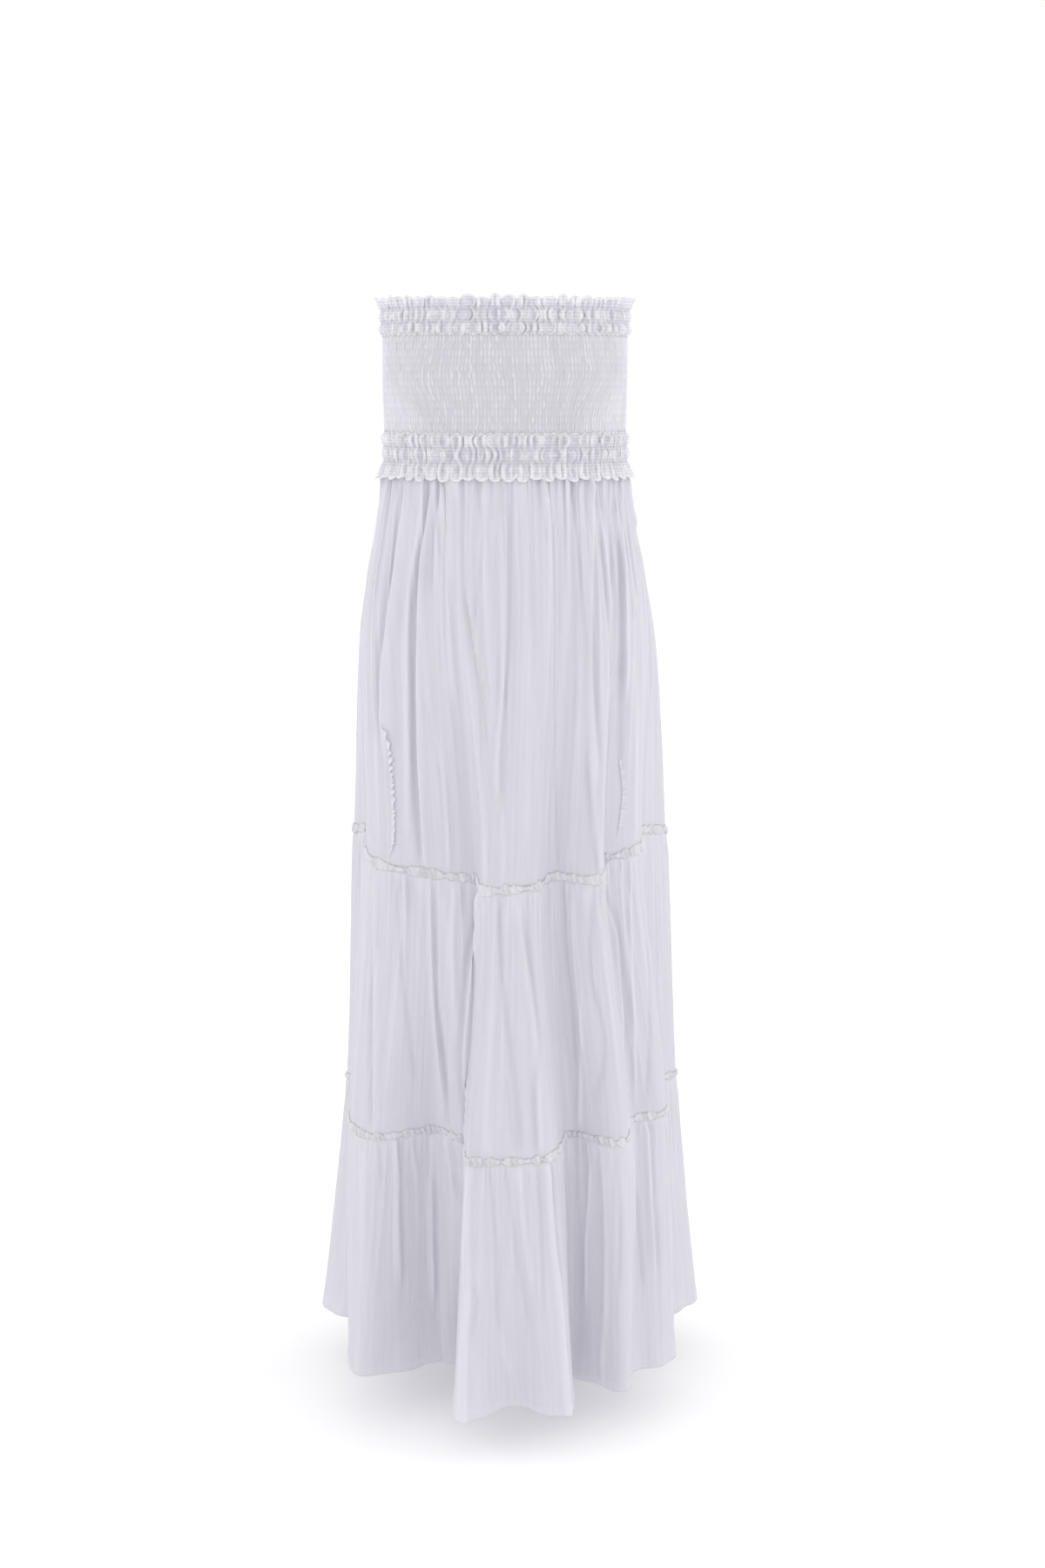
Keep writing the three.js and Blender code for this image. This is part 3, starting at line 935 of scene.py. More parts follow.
@dataclass
class ShirredBodice:
    """The bodice tube: fine upright gathers, pinched by level rows of elastic.

    Attributes:
        figure: The figure that it follows.
        ribs: Gathers all round.
        rows: Rows of elastic below the top lace.
        elastic: Distance between rows of elastic, in millimetres.
        relief: Height of the fullest gather.
        draw_in: How far the gathers lean in towards the middle below the bust.
        thick: The cloth's thickness.
        facets: Faces across a gather, and up a lane between two rows of elastic.
        flat: Cut size of a panel, in metres; not used.
        bust: How far the front is fuller at both sides of its middle.
        taut_shade: How much darker the cloth is where it is stretched over the bust, as thinner cloth and
            as painted shade of the bust.
        bunched: How bunched the cloth is in a hollow, and how much more on a full crest, which paints
            shade in the hollows and highlight on the crests.
        seed: Start of the random draws.
        lanes: Lanes with draws of their own, and how many of them lie above the top lace's foot.
        jogs: Shares of a full sideways jog, of which each lane takes one.
        least: Smallest share of a full gather, by lane and by rib.
        sharp: Power of a gather's outline, more than 1 for a sharper crest.
        held: Share of a gather's height that is left at a row of elastic.
        sway: How far a gather wanders, in gathers, how strongly, and over what length and height.
        sides: Where the gathers lean in, as a share of the half panel, and over what share.
        under_bust: Depths between which they come to lean in.
        cup: Middle and reach of the fullness across, as shares of a panel, and down.
        stretch: Share of the panel that is stretched and painted darker at the bust, and how much less it
            is below.
        stretch_end: Depths between which it gets less.
        stretch_edge: How far inside and outside of its edge the stretch and its painted shade fade.
        fullness: How much wider than what shows the threads' pattern is laid out.
    """

    figure: Figure
    ribs: int = 212
    rows: int = 14
    elastic: float = 7.7
    relief: float = 1.6
    draw_in: float = 20.0
    thick: float = 0.4
    facets: tuple[int, int] = (4, 3)
    flat: tuple[float, float] = (0.5, 0.185)
    bust: float = 8.0
    taut_shade: float = 0.3
    bunched: tuple[float, float] = (0.05, 1.6)
    seed: int = 11
    lanes: tuple[int, int] = (32, 8)
    jogs: tuple[float, ...] = (0.2, 0.5, 1)
    least: tuple[float, float] = (0.4, 0.5)
    sharp: float = 1.2
    held: float = 0.6
    sway: tuple[float, ...] = (0.45, 1.6, 33, 24)
    sides: tuple[float, float] = (0.6, 0.24)
    under_bust: tuple[float, float] = (62, 118)
    cup: tuple[float, ...] = (0.2, 0.1, -84, 27)
    stretch: tuple[float, float] = (0.38, 0.17)
    stretch_end: tuple[float, float] = (70, 150)
    stretch_edge: tuple[float, float] = (0.07, 0.04)
    fullness: float = 2.0

    def gathers(self, arc: Array, rib: Array, z: Array) -> tuple[Array, Array]:
        """Gives the height and the sideways shift of the gathers.

        Args:
            arc: Length along the panel to each point, from its middle.
            rib: The point's place in gathers.
            z: Its height.

        Returns:
            How far each point stands out, and how far it shifts along the cloth.
        """
        rng = np.random.default_rng(self.seed)
        lanes, above = self.lanes
        lane = (Level.LACE_FOOT.value - z) / self.elastic
        row = np.clip(np.floor(lane).astype(int) + above, 0, lanes - 1)
        gather = np.floor(rib).astype(int) % self.ribs
        pitch = 2 * abs(arc).max() / (self.ribs / 2)
        jogs = rng.uniform(-0.5, 0.5, (lanes, self.ribs)) * rng.choice(self.jogs, (lanes, 1))
        by_lane, by_rib = self.least
        sizes = rng.uniform(by_lane, 1.0, (lanes, self.ribs)) * rng.uniform(by_rib, 1.0, self.ribs)
        swell = np.abs(np.sin(np.pi * lane))
        jog = pitch * jogs[row, gather] * swell
        far, strong, long, high = self.sway
        sway = far * pitch * np.sin(arc / long + strong * np.sin(z / high))
        side = arc / abs(arc).max()
        bust = bell(np.abs(side), *self.sides) * smooth_step(*self.under_bust, -z)
        ridge = np.abs(np.sin(np.pi * rib)) ** self.sharp
        height = self.relief * sizes[row, gather] * ridge * mix(self.held, 1, swell**0.7)
        return height, jog + sway - np.sign(side) * self.draw_in * bust * (1 - side**8)

    def panel(self, side: Side, cloth: bpy.types.Material) -> bpy.types.Object:
        """Makes one panel.

        Args:
            side: Front or back.
            cloth: Its material.

        Returns:
            The panel.
        """
        first = 0.0 if side is Side.FRONT else 0.5
        places, lengths = self.figure.ruler(-80.0)
        start, middle, end = np.interp([first, first + 0.25, first + 0.5], places, lengths)
        top = Level.LACE_FOOT.value
        shirred = (top - self.rows * self.elastic, self.rows * self.facets[1])
        lines = spread(0.0, (top, 5), shirred, (Level.WAIST.value, 4))

        def place(across: Array, z: Array) -> tuple[Array, Array, Array]:
            """Lays points of the panel.

            Args:
                across: Shares of the panel's width.
                z: Heights.

            Returns:
                The points, their cloth coordinates and how bunched the threads are, with painted shade
                and highlight of the gathers.
            """
            arc = mix(start, end, across)
            rise, shift = self.gathers(arc - middle, across * self.ribs / 2, z)
            spot = np.interp(arc + shift * np.sin(np.pi * across) ** 0.2, lengths, places)
            outward, _ = self.figure.frame_at(spot, z)
            beside = np.abs(arc - middle) / (end - start)
            full = bell(beside, *self.cup[:2]) * bell(z, *self.cup[2:])
            off = rise + (self.bust * full if side is Side.FRONT else 0)
            points = self.figure.point(spot, z) + outward * off[:, None]
            # The front over the bust is painted darker, for the bust's shade as well as the thinner
            # stretched cloth.
            edge = self.stretch[0] - self.stretch[1] * smooth_step(*self.stretch_end, -z)
            inside, outside = self.stretch_edge
            shaded_stretch = 1 - smooth_step(edge - inside, edge + outside, beside)
            # Gathers' crests are lighter and hollows darker: painted highlight and shade, together with
            # the darker stretched front.
            bunch_and_shade = self.bunched[0] + self.bunched[1] * rise / self.relief - self.taut_shade * shaded_stretch
            return points, np.stack([arc * self.fullness, z], axis=1), bunch_and_shade

        name = f"bodice_panel_{side.value}"
        piece = lay_cloth(name, self.facets[0] * self.ribs // 2, lines[::-1], place, closed=False)
        finish_cloth(piece, cloth, self.thick, [f"bodice_{side.value}"])
        return piece


@dataclass
class GatheredLace:
    """A lace band that rows of elastic gather round the bodice, with one ruffled, scalloped edge.

    Attributes:
        figure: The figure that it follows.
        name: The piece's name.
        node: The solid that it stands for.
        seam: Height of its plain edge, in millimetres.
        notch: Height of the low points between scallops.
        peak: Height of the scallops' tips.
        elastics: Heights of the rows of elastic, from the plain edge on.
        seed: Start of the random draws.
        flat: Cut size, in metres; not used.
        smooth: How far from the plain edge the lace lies nearly flat.
        flare: How far the ruffled edge stands out.
        wing: How much further it does so at the sides.
        scallops: Scallops all round.
        puff: Height of the fullest puff.
        clear: Distance from the figure.
        jag: How uneven its plain edge is.
        thick: The lace's thickness.
        facets: Faces across a puff, of which two make a scallop.
        sizes: Smallest and largest share of a full puff.
        leans: How far a puff leans to either side, in pitches.
        weave: How much further every second puff leans to the same side.
        pinch: Height of the pinches across a puff, as a share of it.
        blunt: Power of a puff's outline, less than 1 for a blunter crest.
        held: Share of a puff's height that is left at a row of elastic.
        pucker: Height of the puckers at the plain edge, as a share of a puff.
        girth: The bodice's girth, from which the pitch of the puffs comes.
        freed: Distances from the plain edge between which puffs come to lean.
        cord: Share of the way out where the edge's cord begins, and where it is full.
        sewn: How far from the plain edge the lace lies closer.
        bunched: How bunched a hollow is, then how much more a puff, the cord, the free edge and
        the plain edge are, so that the hollows carry painted shade and the puffs painted highlight.
        fullness: How much wider than what shows the threads' pattern is laid out.
    """

    figure: Figure
    name: str
    node: str
    seam: float
    notch: float
    peak: float
    elastics: tuple[float, ...]
    seed: int
    flat: tuple[float, float]
    smooth: float = 3.0
    flare: float = 3.6
    wing: float = 1.3
    scallops: int = 54
    puff: float = 3.8
    clear: float = 1.6
    jag: float = 1.2
    thick: float = 0.4
    facets: int = 8
    sizes: tuple[float, float] = (0.35, 1.0)
    leans: float = 0.6
    weave: float = 0.15
    pinch: float = 0.22
    blunt: float = 0.8
    held: float = 0.25
    pucker: float = 0.3
    girth: float = 840.0
    freed: tuple[float, float] = (0.5, 5)
    cord: tuple[float, float] = (0.9, 0.97)
    sewn: float = 5.0
    bunched: tuple[float, ...] = (0.18, 0.95, 0.6, 0.4, 0.3)
    fullness: float = 1.5

    def puffs(self, turn: Array, out: Array, z: Array) -> tuple[Array, Array, Array]:
        """Gives the puffs between the rows of elastic.

        Args:
            turn: Share of a turn to each point.
            out: Share of the way from the plain edge to the free one.
            z: Height of each point.

        Returns:
            How high each point is puffed, its sideways shift and the share of a full ridge.
        """
        rng = np.random.default_rng(self.seed)
        marks = [self.seam, *self.elastics, self.peak]
        reach = np.abs(np.array(marks) - self.seam)
        away = np.abs(z - self.seam)
        lane = np.clip(np.searchsorted(reach, away, side="right") - 1, 0, len(marks) - 2)
        share = np.clip((away - reach[lane]) / (reach[lane + 1] - reach[lane]), 0, 1)
        count = 2 * self.scallops
        rib = turn * count
        cell = np.floor(rib).astype(int) % count
        sizes = rng.uniform(*self.sizes, (len(marks), count))
        leans = rng.uniform(-self.leans, self.leans, (len(marks), count))
        size = sizes[lane, cell]
        swell = np.sin(np.pi * share) ** self.blunt
        ridge = np.abs(np.sin(np.pi * rib)) ** self.blunt
        pinches = self.pinch * np.sin(2.6 * np.pi * rib + 9 * size) * swell
        full = ridge * mix(self.held, 1, swell) * size + pinches
        puffed = smooth_step(0.6 * self.smooth, self.smooth, away)
        full = full * puffed + self.pucker * np.abs(np.sin(2 * np.pi * rib)) * (1 - puffed)
        weave = np.where((cell + lane) % 2, 1, -1) * self.weave + leans[lane, cell]
        freed = (1 - 0.6 * out**4) * smooth_step(*self.freed, away)
        return self.puff * full, self.girth / count * weave * swell * freed, full

    def band(self, cloth: bpy.types.Material) -> bpy.types.Object:
        """Makes the band.

        Args:
            cloth: Its material.

        Returns:
            The band.
        """
        places, lengths = self.figure.ruler(self.seam)
        girth = lengths[-1]
        upward = self.peak > self.seam
        spans = np.abs(np.diff([self.seam, *self.elastics, self.notch])) / abs(self.peak - self.seam)
        marks = np.cumsum(spans)
        lanes = ((mark, self.facets) for mark in marks[:-1])
        lines = spread(0.0, *lanes, (0.93, 7), (1.0, 2))
        sizes = np.random.default_rng(self.seed + 1).uniform(0.45, 1.0, self.scallops)

        def place(across: Array, out: Array) -> tuple[Array, Array, Array]:
            """Lays points of the band.

            Args:
                across: Shares of a turn.
                out: Shares of the way from the plain edge to the free one.

            Returns:
                The points, their cloth coordinates and how bunched the threads are, with painted shade
                and highlight of the puffs.
            """
            scallop = np.abs(np.sin(np.pi * across * self.scallops))
            size = sizes[np.floor(across * self.scallops).astype(int) % self.scallops]
            edge = mix(self.notch, self.peak, size * scallop**0.5)
            beat = 2 * np.pi * across
            jag = self.jag * np.sin(1.5 * self.scallops * beat + 3 * np.sin(7 * beat))
            z = mix(self.seam + jag, edge, out)
            rise, shift, full = self.puffs(across, out, z)
            loose = np.clip((out - marks[-2]) / (1 - marks[-2]), 0, 1)
            sideways = np.abs(np.cos(2 * np.pi * across)) ** 6
            flare = self.flare * (1 + self.wing * sideways) * loose * (0.35 + 0.65 * scallop)
            cord = smooth_step(*self.cord, out)
            arc = across * girth + shift
            spot = np.interp(arc % girth, lengths, places)
            outward, _ = self.figure.frame_at(spot, z)
            sewn = 1 - smooth_step(0, self.sewn, np.abs(z - self.seam))
            puffed = rise * (1 - 0.5 * loose) * (1 - 0.9 * sewn)
            off = self.clear * (1 - 0.5 * sewn) + puffed + flare + 0.5 * cord
            points = self.figure.point(spot, z) + outward * off[:, None]
            hollow, puff, corded, free, plain = self.bunched
            # Puffs are lighter and hollows darker: painted highlight and shade on the lace's relief.
            bunch_and_shade = np.maximum(hollow + puff * full, corded * cord + free * loose) + plain * sewn
            return points, np.stack([across * girth * self.fullness, z], axis=1), bunch_and_shade

        columns = 2 * self.facets * self.scallops
        piece = lay_cloth(self.name, columns, lines if upward else lines[::-1], place, closed=True)
        finish_cloth(piece, cloth, self.thick, [self.node])
        return piece


@dataclass
class SkirtTier:
    """One tier of the skirt, gathered into the seam above it.

    Attributes:
        skirt: The large folds that it hangs in.
        number: 1 for the top tier.
        top: Height of the seam that it hangs from.
        bottom: Height of its lower edge.
        pleats: Its families of smaller folds.
        flat: Cut size of the front and the back panel, in metres; not used.
        columns: Faces across a panel.
        rows: Where stretches of rows end below the seam, and how many rows each holds.
        calm: Share of the smaller folds' height that is left in the middle of the front and back.
        soft: Share of the height of crests, and of the depth of troughs, that the soft cloth keeps.
        hem: Depth of the stitched hem, in millimetres, or 0.
        hem_rise: How far the hem's second layer stands out.
        ripple: Height of the small waves of the hem's edge.
        thick: The cloth's thickness.
        gathered: Depths below the seam between which the smaller folds grow calm.
        eased: Depth below the seam above over which the folds rise.
        flattened: How far above the lower seam the folds begin to flatten, and where they end.
        flatness: How much of them goes there.
        bunched: How bunched flat cloth is, how much more a crest is, and how much more the seam is, so
            that crests carry painted highlight and troughs painted shade.
        loose: Depth of the stretch above the hem that waves.
        waves: Wavelength, swing and bend of the hem's waves outwards, and of those up and down.
        puckers: The same of the puckers along the hem's stitches, then their height and reach.
        doubled: How bunched the hem's two layers look.
        fullness: How much wider than what shows the threads' pattern is laid out.
    """

    skirt: FoldedSkirt
    number: int
    top: float
    bottom: float
    pleats: Sequence[Pleats]
    flat: dict[Side, tuple[float, float]]
    columns: int
    rows: Sequence[tuple[float, int]]
    calm: float = 0.6
    soft: tuple[float, float] = (0.85, 0.5)
    hem: float = 0.0
    hem_rise: float = 0.3
    ripple: float = 1.1
    thick: float = 0.35
    gathered: tuple[float, float] = (10, 70)
    eased: float = 14.0
    flattened: tuple[float, float] = (20, 4)
    flatness: float = 0.92
    bunched: tuple[float, ...] = (0.3, 0.4, 0.2)
    loose: float = 45.0
    waves: tuple[tuple[float, ...], ...] = ((6.5, 2.5, 37), (8, 2, 45))
    puckers: tuple[float, ...] = (1.15, 2, 17, 0.25, 3)
    doubled: float = 0.27
    fullness: float = 1.2

    def __post_init__(self) -> None:
        """Measures the tier halfway down, and finds its creases on the cloth."""
        self.places, self.lengths = self.skirt.ruler((self.top + self.bottom) / 2)
        self.girth = self.lengths[-1]
        self.depth = self.top - self.bottom
        self.creases = []
        for side in Side:
            for crease in CREASES[self.number, side]:
                spots = [self.skirt.place_of(x, z, side) for x, z in crease.path]
                heights = [z for _, z in crease.path]
                arcs = list(np.interp(spots, self.places, self.lengths))
                self.creases.append((crease, heights, arcs, 1 if side is Side.FRONT else -1))

    def relief(self, arc: Array, below: Array, turn: Array) -> tuple[Array, Array]:
        """Adds up the smaller folds.

        Args:
            arc: Length along the cloth to each point, from the left side seam.
            below: How far each point is below the seam.
            turn: Its angle from the front, in radians.

        Returns:
            How far each point stands out, and how far it shifts along the cloth.
        """
        rise = np.zeros_like(arc)
        shift = np.zeros_like(arc)
        for family in self.pleats:
            up, aside = family.relief(arc, below, self.girth)
            rise += up
            shift += aside
        busy = self.calm + (1 - self.calm) * np.abs(np.sin(turn)) ** 2
        busy = np.maximum(busy, 1 - smooth_step(*self.gathered, below))
        rise *= busy
        shift *= busy
        for crease, heights, arcs, way in self.creases:
            gap = (arc - along(heights, arcs, self.top - below)) * way
            near = np.abs(gap) < crease.reach * crease.wide
            up, aside = crease.relief(gap[near], (self.top - below)[near])
            keep = self.soft[0] if crease.rise > 0 else self.soft[1]
            rise[near] += keep * up
            shift[near] += keep * way * aside
        settle = 1
        if not self.hem:
            start, end = self.flattened
            settle = 1 - self.flatness * smooth_step(self.depth - start, self.depth - end, below)
        if self.number > 1:
            settle = settle * smooth_step(0, self.eased, below)
        return rise * settle, shift * settle

    def surface(self, arc: Array, below: Array) -> tuple[Array, Array, Array]:
        """Lays points of the cloth.

        Args:
            arc: Length along the cloth to each point, from the left side seam.
            below: How far each point is below the seam.

        Returns:
            The points, the level direction away from the cloth, and how bunched the threads are, with
            painted shade and highlight of the folds.
        """
        spot = np.interp(arc, self.lengths, self.places)
        z = self.top - below
        base = self.skirt.point(spot, z)
        rise, shift = self.relief(arc, below, np.arctan2(base[:, 0], -base[:, 1]))
        plain, crest, sewn = self.bunched
        # Crests are lighter and troughs darker: painted highlight and shade of the folds, with the denser
        # cloth at the seam.
        bunch_and_shade = plain + crest * np.tanh(0.5 * rise) + sewn * (1 - smooth_step(0, self.eased, below))
        if self.hem:
            loose = self.ripple * smooth_step(self.depth - self.loose, self.depth, below)
            rise = rise + loose * np.sin(wander(arc, *self.waves[0]))
            base[:, 2] += loose * np.cos(wander(arc, *self.waves[1]))
            line = self.depth - self.hem
            *pucker, high, reach = self.puckers
            folded = smooth_step(line - 0.8, line, below)
            rise = rise + self.hem_rise * folded
            rise = rise + high * np.sin(wander(arc, *pucker)) * bell(below, line, reach)
            bunch_and_shade = np.maximum(bunch_and_shade, self.doubled * folded)
        outward, ahead = self.skirt.frame_at(spot, z)
        return base + outward * rise[:, None] + ahead * shift[:, None], outward, bunch_and_shade

    def panel(self, side: Side, cloth: bpy.types.Material) -> bpy.types.Object:
        """Makes one panel of the tier.

        Args:
            side: Front or back.
            cloth: Its material.

        Returns:
            The panel.
        """
        seam = float(self.skirt.row_of("right valley"))
        first, last = (0.0, seam) if side is Side.FRONT else (seam, self.skirt.turns)
        start, end = np.interp([first, last], self.places, self.lengths)

        def place(across: Array, below: Array) -> tuple[Array, Array, Array]:
            """Lays points of the panel.

            Args:
                across: Shares of the panel's width.
                below: Depths below the seam.

            Returns:
                The points, their cloth coordinates and how bunched the threads are, with painted shade
                and highlight of the folds.
            """
            arc = mix(start, end, across)
            points, _, bunch_and_shade = self.surface(arc, below)
            return points, np.stack([arc * self.fullness, -below], axis=1), bunch_and_shade

        name = f"skirt_tier_{self.number}_{side.value}"
        piece = lay_cloth(name, self.columns, spread(0.0, *self.rows)[::-1], place, closed=False)
        finish_cloth(piece, cloth, self.thick, [f"tier_{self.number}_{side.value}"])
        return piece


@dataclass
class SeamFrill:
    """A narrow raw-edged frill that stands on a tier seam, crinkled like a loose rope.

    Attributes:
        skirt: The large folds that it follows.
        name: The piece's name.
        node: The solid that it stands for.
        seam: Height of the seam, in millimetres.
        above: The piece that it is sewn to; not used.
        seed: Start of the random draws.
        flat: Cut size, in metres; not used.
        columns: Faces all round.
        drop: How far it reaches below the seam.
        rise: How far it reaches above.
        reach: How far it stands out.
        wave: Distance between its waves.
        clear: Distance from the skirt at its edges.
        thick: The cloth's thickness.
        swing: How far its waves wander from even spacing, in radians.
        sizes: Mean size of a wave, and how far it varies.
        ragged: Mean depth of its raw edges, how far it varies, and how far within a wave.
        bulge: Share of its reach that its middle stands out, before the waves.
        shear: How far its waves shift along the seam.
        stagger: How far its two edges wave apart from the seam's line, in radians.
        lifted: How far its upper and its lower edge lift, as shares of a wave.
        bunched: How bunched it is, and how much more on a crest, which paints highlight on its crests and
            shade in its dips.
        fullness: How much wider than what shows the threads' pattern is laid out.
    """

    skirt: FoldedSkirt
    name: str
    node: str
    seam: float
    above: str
    seed: int
    flat: tuple[float, float]
    columns: int
    drop: float = 4.5
    rise: float = 5.5
    reach: float = 1.7
    wave: float = 6.4
    clear: float = 0.4
    thick: float = 0.3
    swing: float = 1.6
    sizes: tuple[float, float] = (0.75, 0.5)
    ragged: tuple[float, ...] = (0.85, 0.45, 0.2)
    bulge: float = 0.8
    shear: float = 0.35
    stagger: float = 0.9
    lifted: tuple[float, float] = (0.15, 0.6)
    bunched: tuple[float, float] = (0.85, 0.3)
    fullness: float = 1.6

    def strip(self, cloth: bpy.types.Material) -> bpy.types.Object:
        """Makes the frill.

        Args:
            cloth: Its material.

        Returns:
            The frill.
        """
        places, lengths = self.skirt.ruler(self.seam)
        girth = lengths[-1]
        waves = round(girth / self.wave)
        swings, heights, edges = np.random.default_rng(self.seed).uniform(-1, 1, (3, waves))

        def place(across: Array, up: Array) -> tuple[Array, Array, Array]:
            """Lays points of the frill.

            Args:
                across: Shares of a turn.
                up: Shares of the way to the edges, from -1 at the lower to 1 at the upper.

            Returns:
                The points, their cloth coordinates and how bunched the threads are, with painted shade
                and highlight of its waves.
            """
            at = across * waves
            free = np.abs(up) ** 0.8
            turn = 2 * np.pi * at + self.swing * uneven(swings, at) + self.stagger * np.sign(up)
            size = self.sizes[0] + self.sizes[1] * uneven(heights, at)
            wave = np.sin(turn) * size
            mean, chance, within = self.ragged
            ragged = mean + chance * uneven(edges, at) + within * np.sin(2 * turn)
            height = np.where(up > 0, self.rise, -self.drop) * free * ragged
            spot = np.interp(across * girth, lengths, places)
            z = self.seam + height
            outward, ahead = self.skirt.frame_at(spot, z)
            off = self.clear + self.reach * (1 - up**2) * self.bulge * (1 + wave)
            off = off + np.where(up > 0, *self.lifted) * np.maximum(wave * free, 0)
            points = self.skirt.point(spot, z) + outward * off[:, None]
            points = points + ahead * (self.shear * np.cos(turn) * size)[:, None]
            # Wave crests are lighter and dips darker: painted highlight and shade.
            bunch_and_shade = self.bunched[0] + self.bunched[1] * wave
            return points, np.stack([across * girth * self.fullness, height], axis=1), bunch_and_shade

        lines = spread(-1.0, (0.0, 3), (1.0, 4))
        piece = lay_cloth(self.name, self.columns, lines, place, closed=True)
        finish_cloth(piece, cloth, self.thick, [self.node])
        return piece


@dataclass
class SeamEdge:
    """A raw seam edge that shows as a narrow crinkled ruffle along a panel seam.

    Attributes:
        tier: The tier that it stands on.
        name: The piece's name.
        side: The side that it is seen from.
        path: Points (x, z) that it runs through, from its top end down, in millimetres.
        wide: How far the edge reaches from the seam.
        curl: How far its ripples stand out.
        allowance: Width of the whole seam allowance; not used.
        wave: Distance between its crinkles.
        seed: Start of the random draws.
        thick: The cloth's thickness.
        clear: Distance from the tier.
        swing: How far its crinkles wander from even spacing, in radians.
        sizes: Mean size of a crinkle, and how far it varies.
        leans: Mean share of its width that shows, and how far that varies with the crinkles.
        shear: How far its crinkles shift up and down.
        ended: Share of its length over which each end closes.
        bunched: How bunched it is, and how much more on a crest, which paints highlight on its crests and
            shade in its dips.
        facets: Faces along a crinkle.
    """

    tier: SkirtTier
    name: str
    side: Side
    path: tuple[tuple[float, float], ...]
    wide: float = 6.5
    curl: float = 0.8
    allowance: float = 12.0
    wave: float = 8.0
    seed: int = 61
    thick: float = 0.3
    clear: float = 0.3
    swing: float = 3.4
    sizes: tuple[float, float] = (0.6, 0.6)
    leans: tuple[float, float] = (0.8, 0.35)
    shear: float = 0.5
    ended: float = 0.12
    bunched: tuple[float, float] = (0.6, 0.3)
    facets: int = 8

    def strip(self, cloth: bpy.types.Material) -> bpy.types.Object:
        """Makes the ruffle.

        Args:
            cloth: Its material.

        Returns:
            The ruffle.
        """
        tier = self.tier
        heights = [z for _, z in self.path]
        spots = [tier.skirt.place_of(x, z, self.side) for x, z in self.path]
        arcs = list(np.interp(spots, tier.places, tier.lengths))
        length = heights[0] - heights[-1]
        sizes, swings = np.random.default_rng(self.seed).uniform(-1, 1, (2, 64))

        def place(across: Array, out: Array) -> tuple[Array, Array, Array]:
            """Lays points of the ruffle.

            Args:
                across: Shares of its length, from the lower end.
                out: Shares of the way from the seam to the raw edge.

            Returns:
                The points, their cloth coordinates and how bunched the threads are, with painted shade
                and highlight of its ripples.
            """
            z = mix(heights[-1], heights[0], across)
            at = (heights[0] - z) / self.wave
            size = self.sizes[0] + self.sizes[1] * uneven(sizes, at)
            turn = 2 * np.pi * at + self.swing * uneven(swings, at)
            ends = smooth_step(0, self.ended, across) * smooth_step(0, self.ended, 1 - across)
            base, outward, _ = tier.surface(along(heights, arcs, z), tier.top - z)
            level = np.stack([-outward[:, 1], outward[:, 0], np.zeros(len(z))], axis=1)
            lean = self.leans[0] + self.leans[1] * np.cos(turn) * size
            ripple = self.clear + self.curl * out * (1 + np.sin(turn) * size)
            points = base + outward * (ripple * ends)[:, None]
            points = points + level * (self.wide * out * ends * lean)[:, None]
            points[:, 2] += self.shear * out * np.cos(turn) * size
            # Ripple crests are lighter and dips darker: painted highlight and shade.
            bunch_and_shade = self.bunched[0] + self.bunched[1] * np.sin(turn) * size
            return points, np.stack([out * self.wide, z], axis=1), bunch_and_shade

        columns = round(length / self.wave * self.facets)
        piece = lay_cloth(self.name, columns, spread(0.0, (1.0, 5)), place, closed=False)
        finish_cloth(piece, cloth, self.thick, [])
        return piece


@dataclass
class HemStitches:
    """The row of stitches that holds the turned hem.

    Attributes:
        tier: The tier with the hem.
        pitch: Distance between stitches, in millimetres.
        length: Length of a stitch.
        thread: Thickness of the thread.
        proud: How far the thread stands out of the cloth.
    """

    tier: SkirtTier
    pitch: float = 3.0
    length: float = 2.1
    thread: float = 0.34
    proud: float = 0.12

    def row(self, cloth: bpy.types.Material) -> bpy.types.Object:
        """Makes the row of stitches.

        Args:
            cloth: The thread's material.

        Returns:
            The joined stitches.
        """
        tier = self.tier
        count = round(tier.girth / self.pitch)
        arcs = (np.arange(count) + 0.5) * tier.girth / count
        below = np.full(count, tier.depth - tier.hem)
        centres, outward, _ = tier.surface(arcs, below)
        centres = centres + outward * self.proud
        ahead = np.roll(centres, -1, axis=0) - np.roll(centres, 1, axis=0)
        stitches = bmesh.new()
        for centre, away, way in zip(centres, outward, ahead):
            forward = Vector(way).normalized()
            up = forward.cross(Vector(away)).normalized()
            turn = Matrix((forward, forward.cross(up), up)).transposed().to_4x4()
            size = Matrix.Diagonal((self.length, self.thread, self.thread, 1))
            place = Matrix.Translation(Vector(centre) * MM) @ turn @ Matrix.Scale(MM, 4) @ size
            bmesh.ops.create_cube(stitches, size=1, matrix=place)
        bmesh.ops.recalc_face_normals(stitches, faces=stitches.faces)
        mesh = bpy.data.meshes.new("hem_stitches")
        stitches.to_mesh(mesh)
        stitches.free()
        piece = bpy.data.objects.new("hem_stitches", mesh)
        bpy.context.scene.collection.objects.link(piece)
        piece.data.materials.append(cloth)
        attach(piece, BODY)
        LOG.info("%s: %d faces", piece.name, len(mesh.polygons))
        return piece


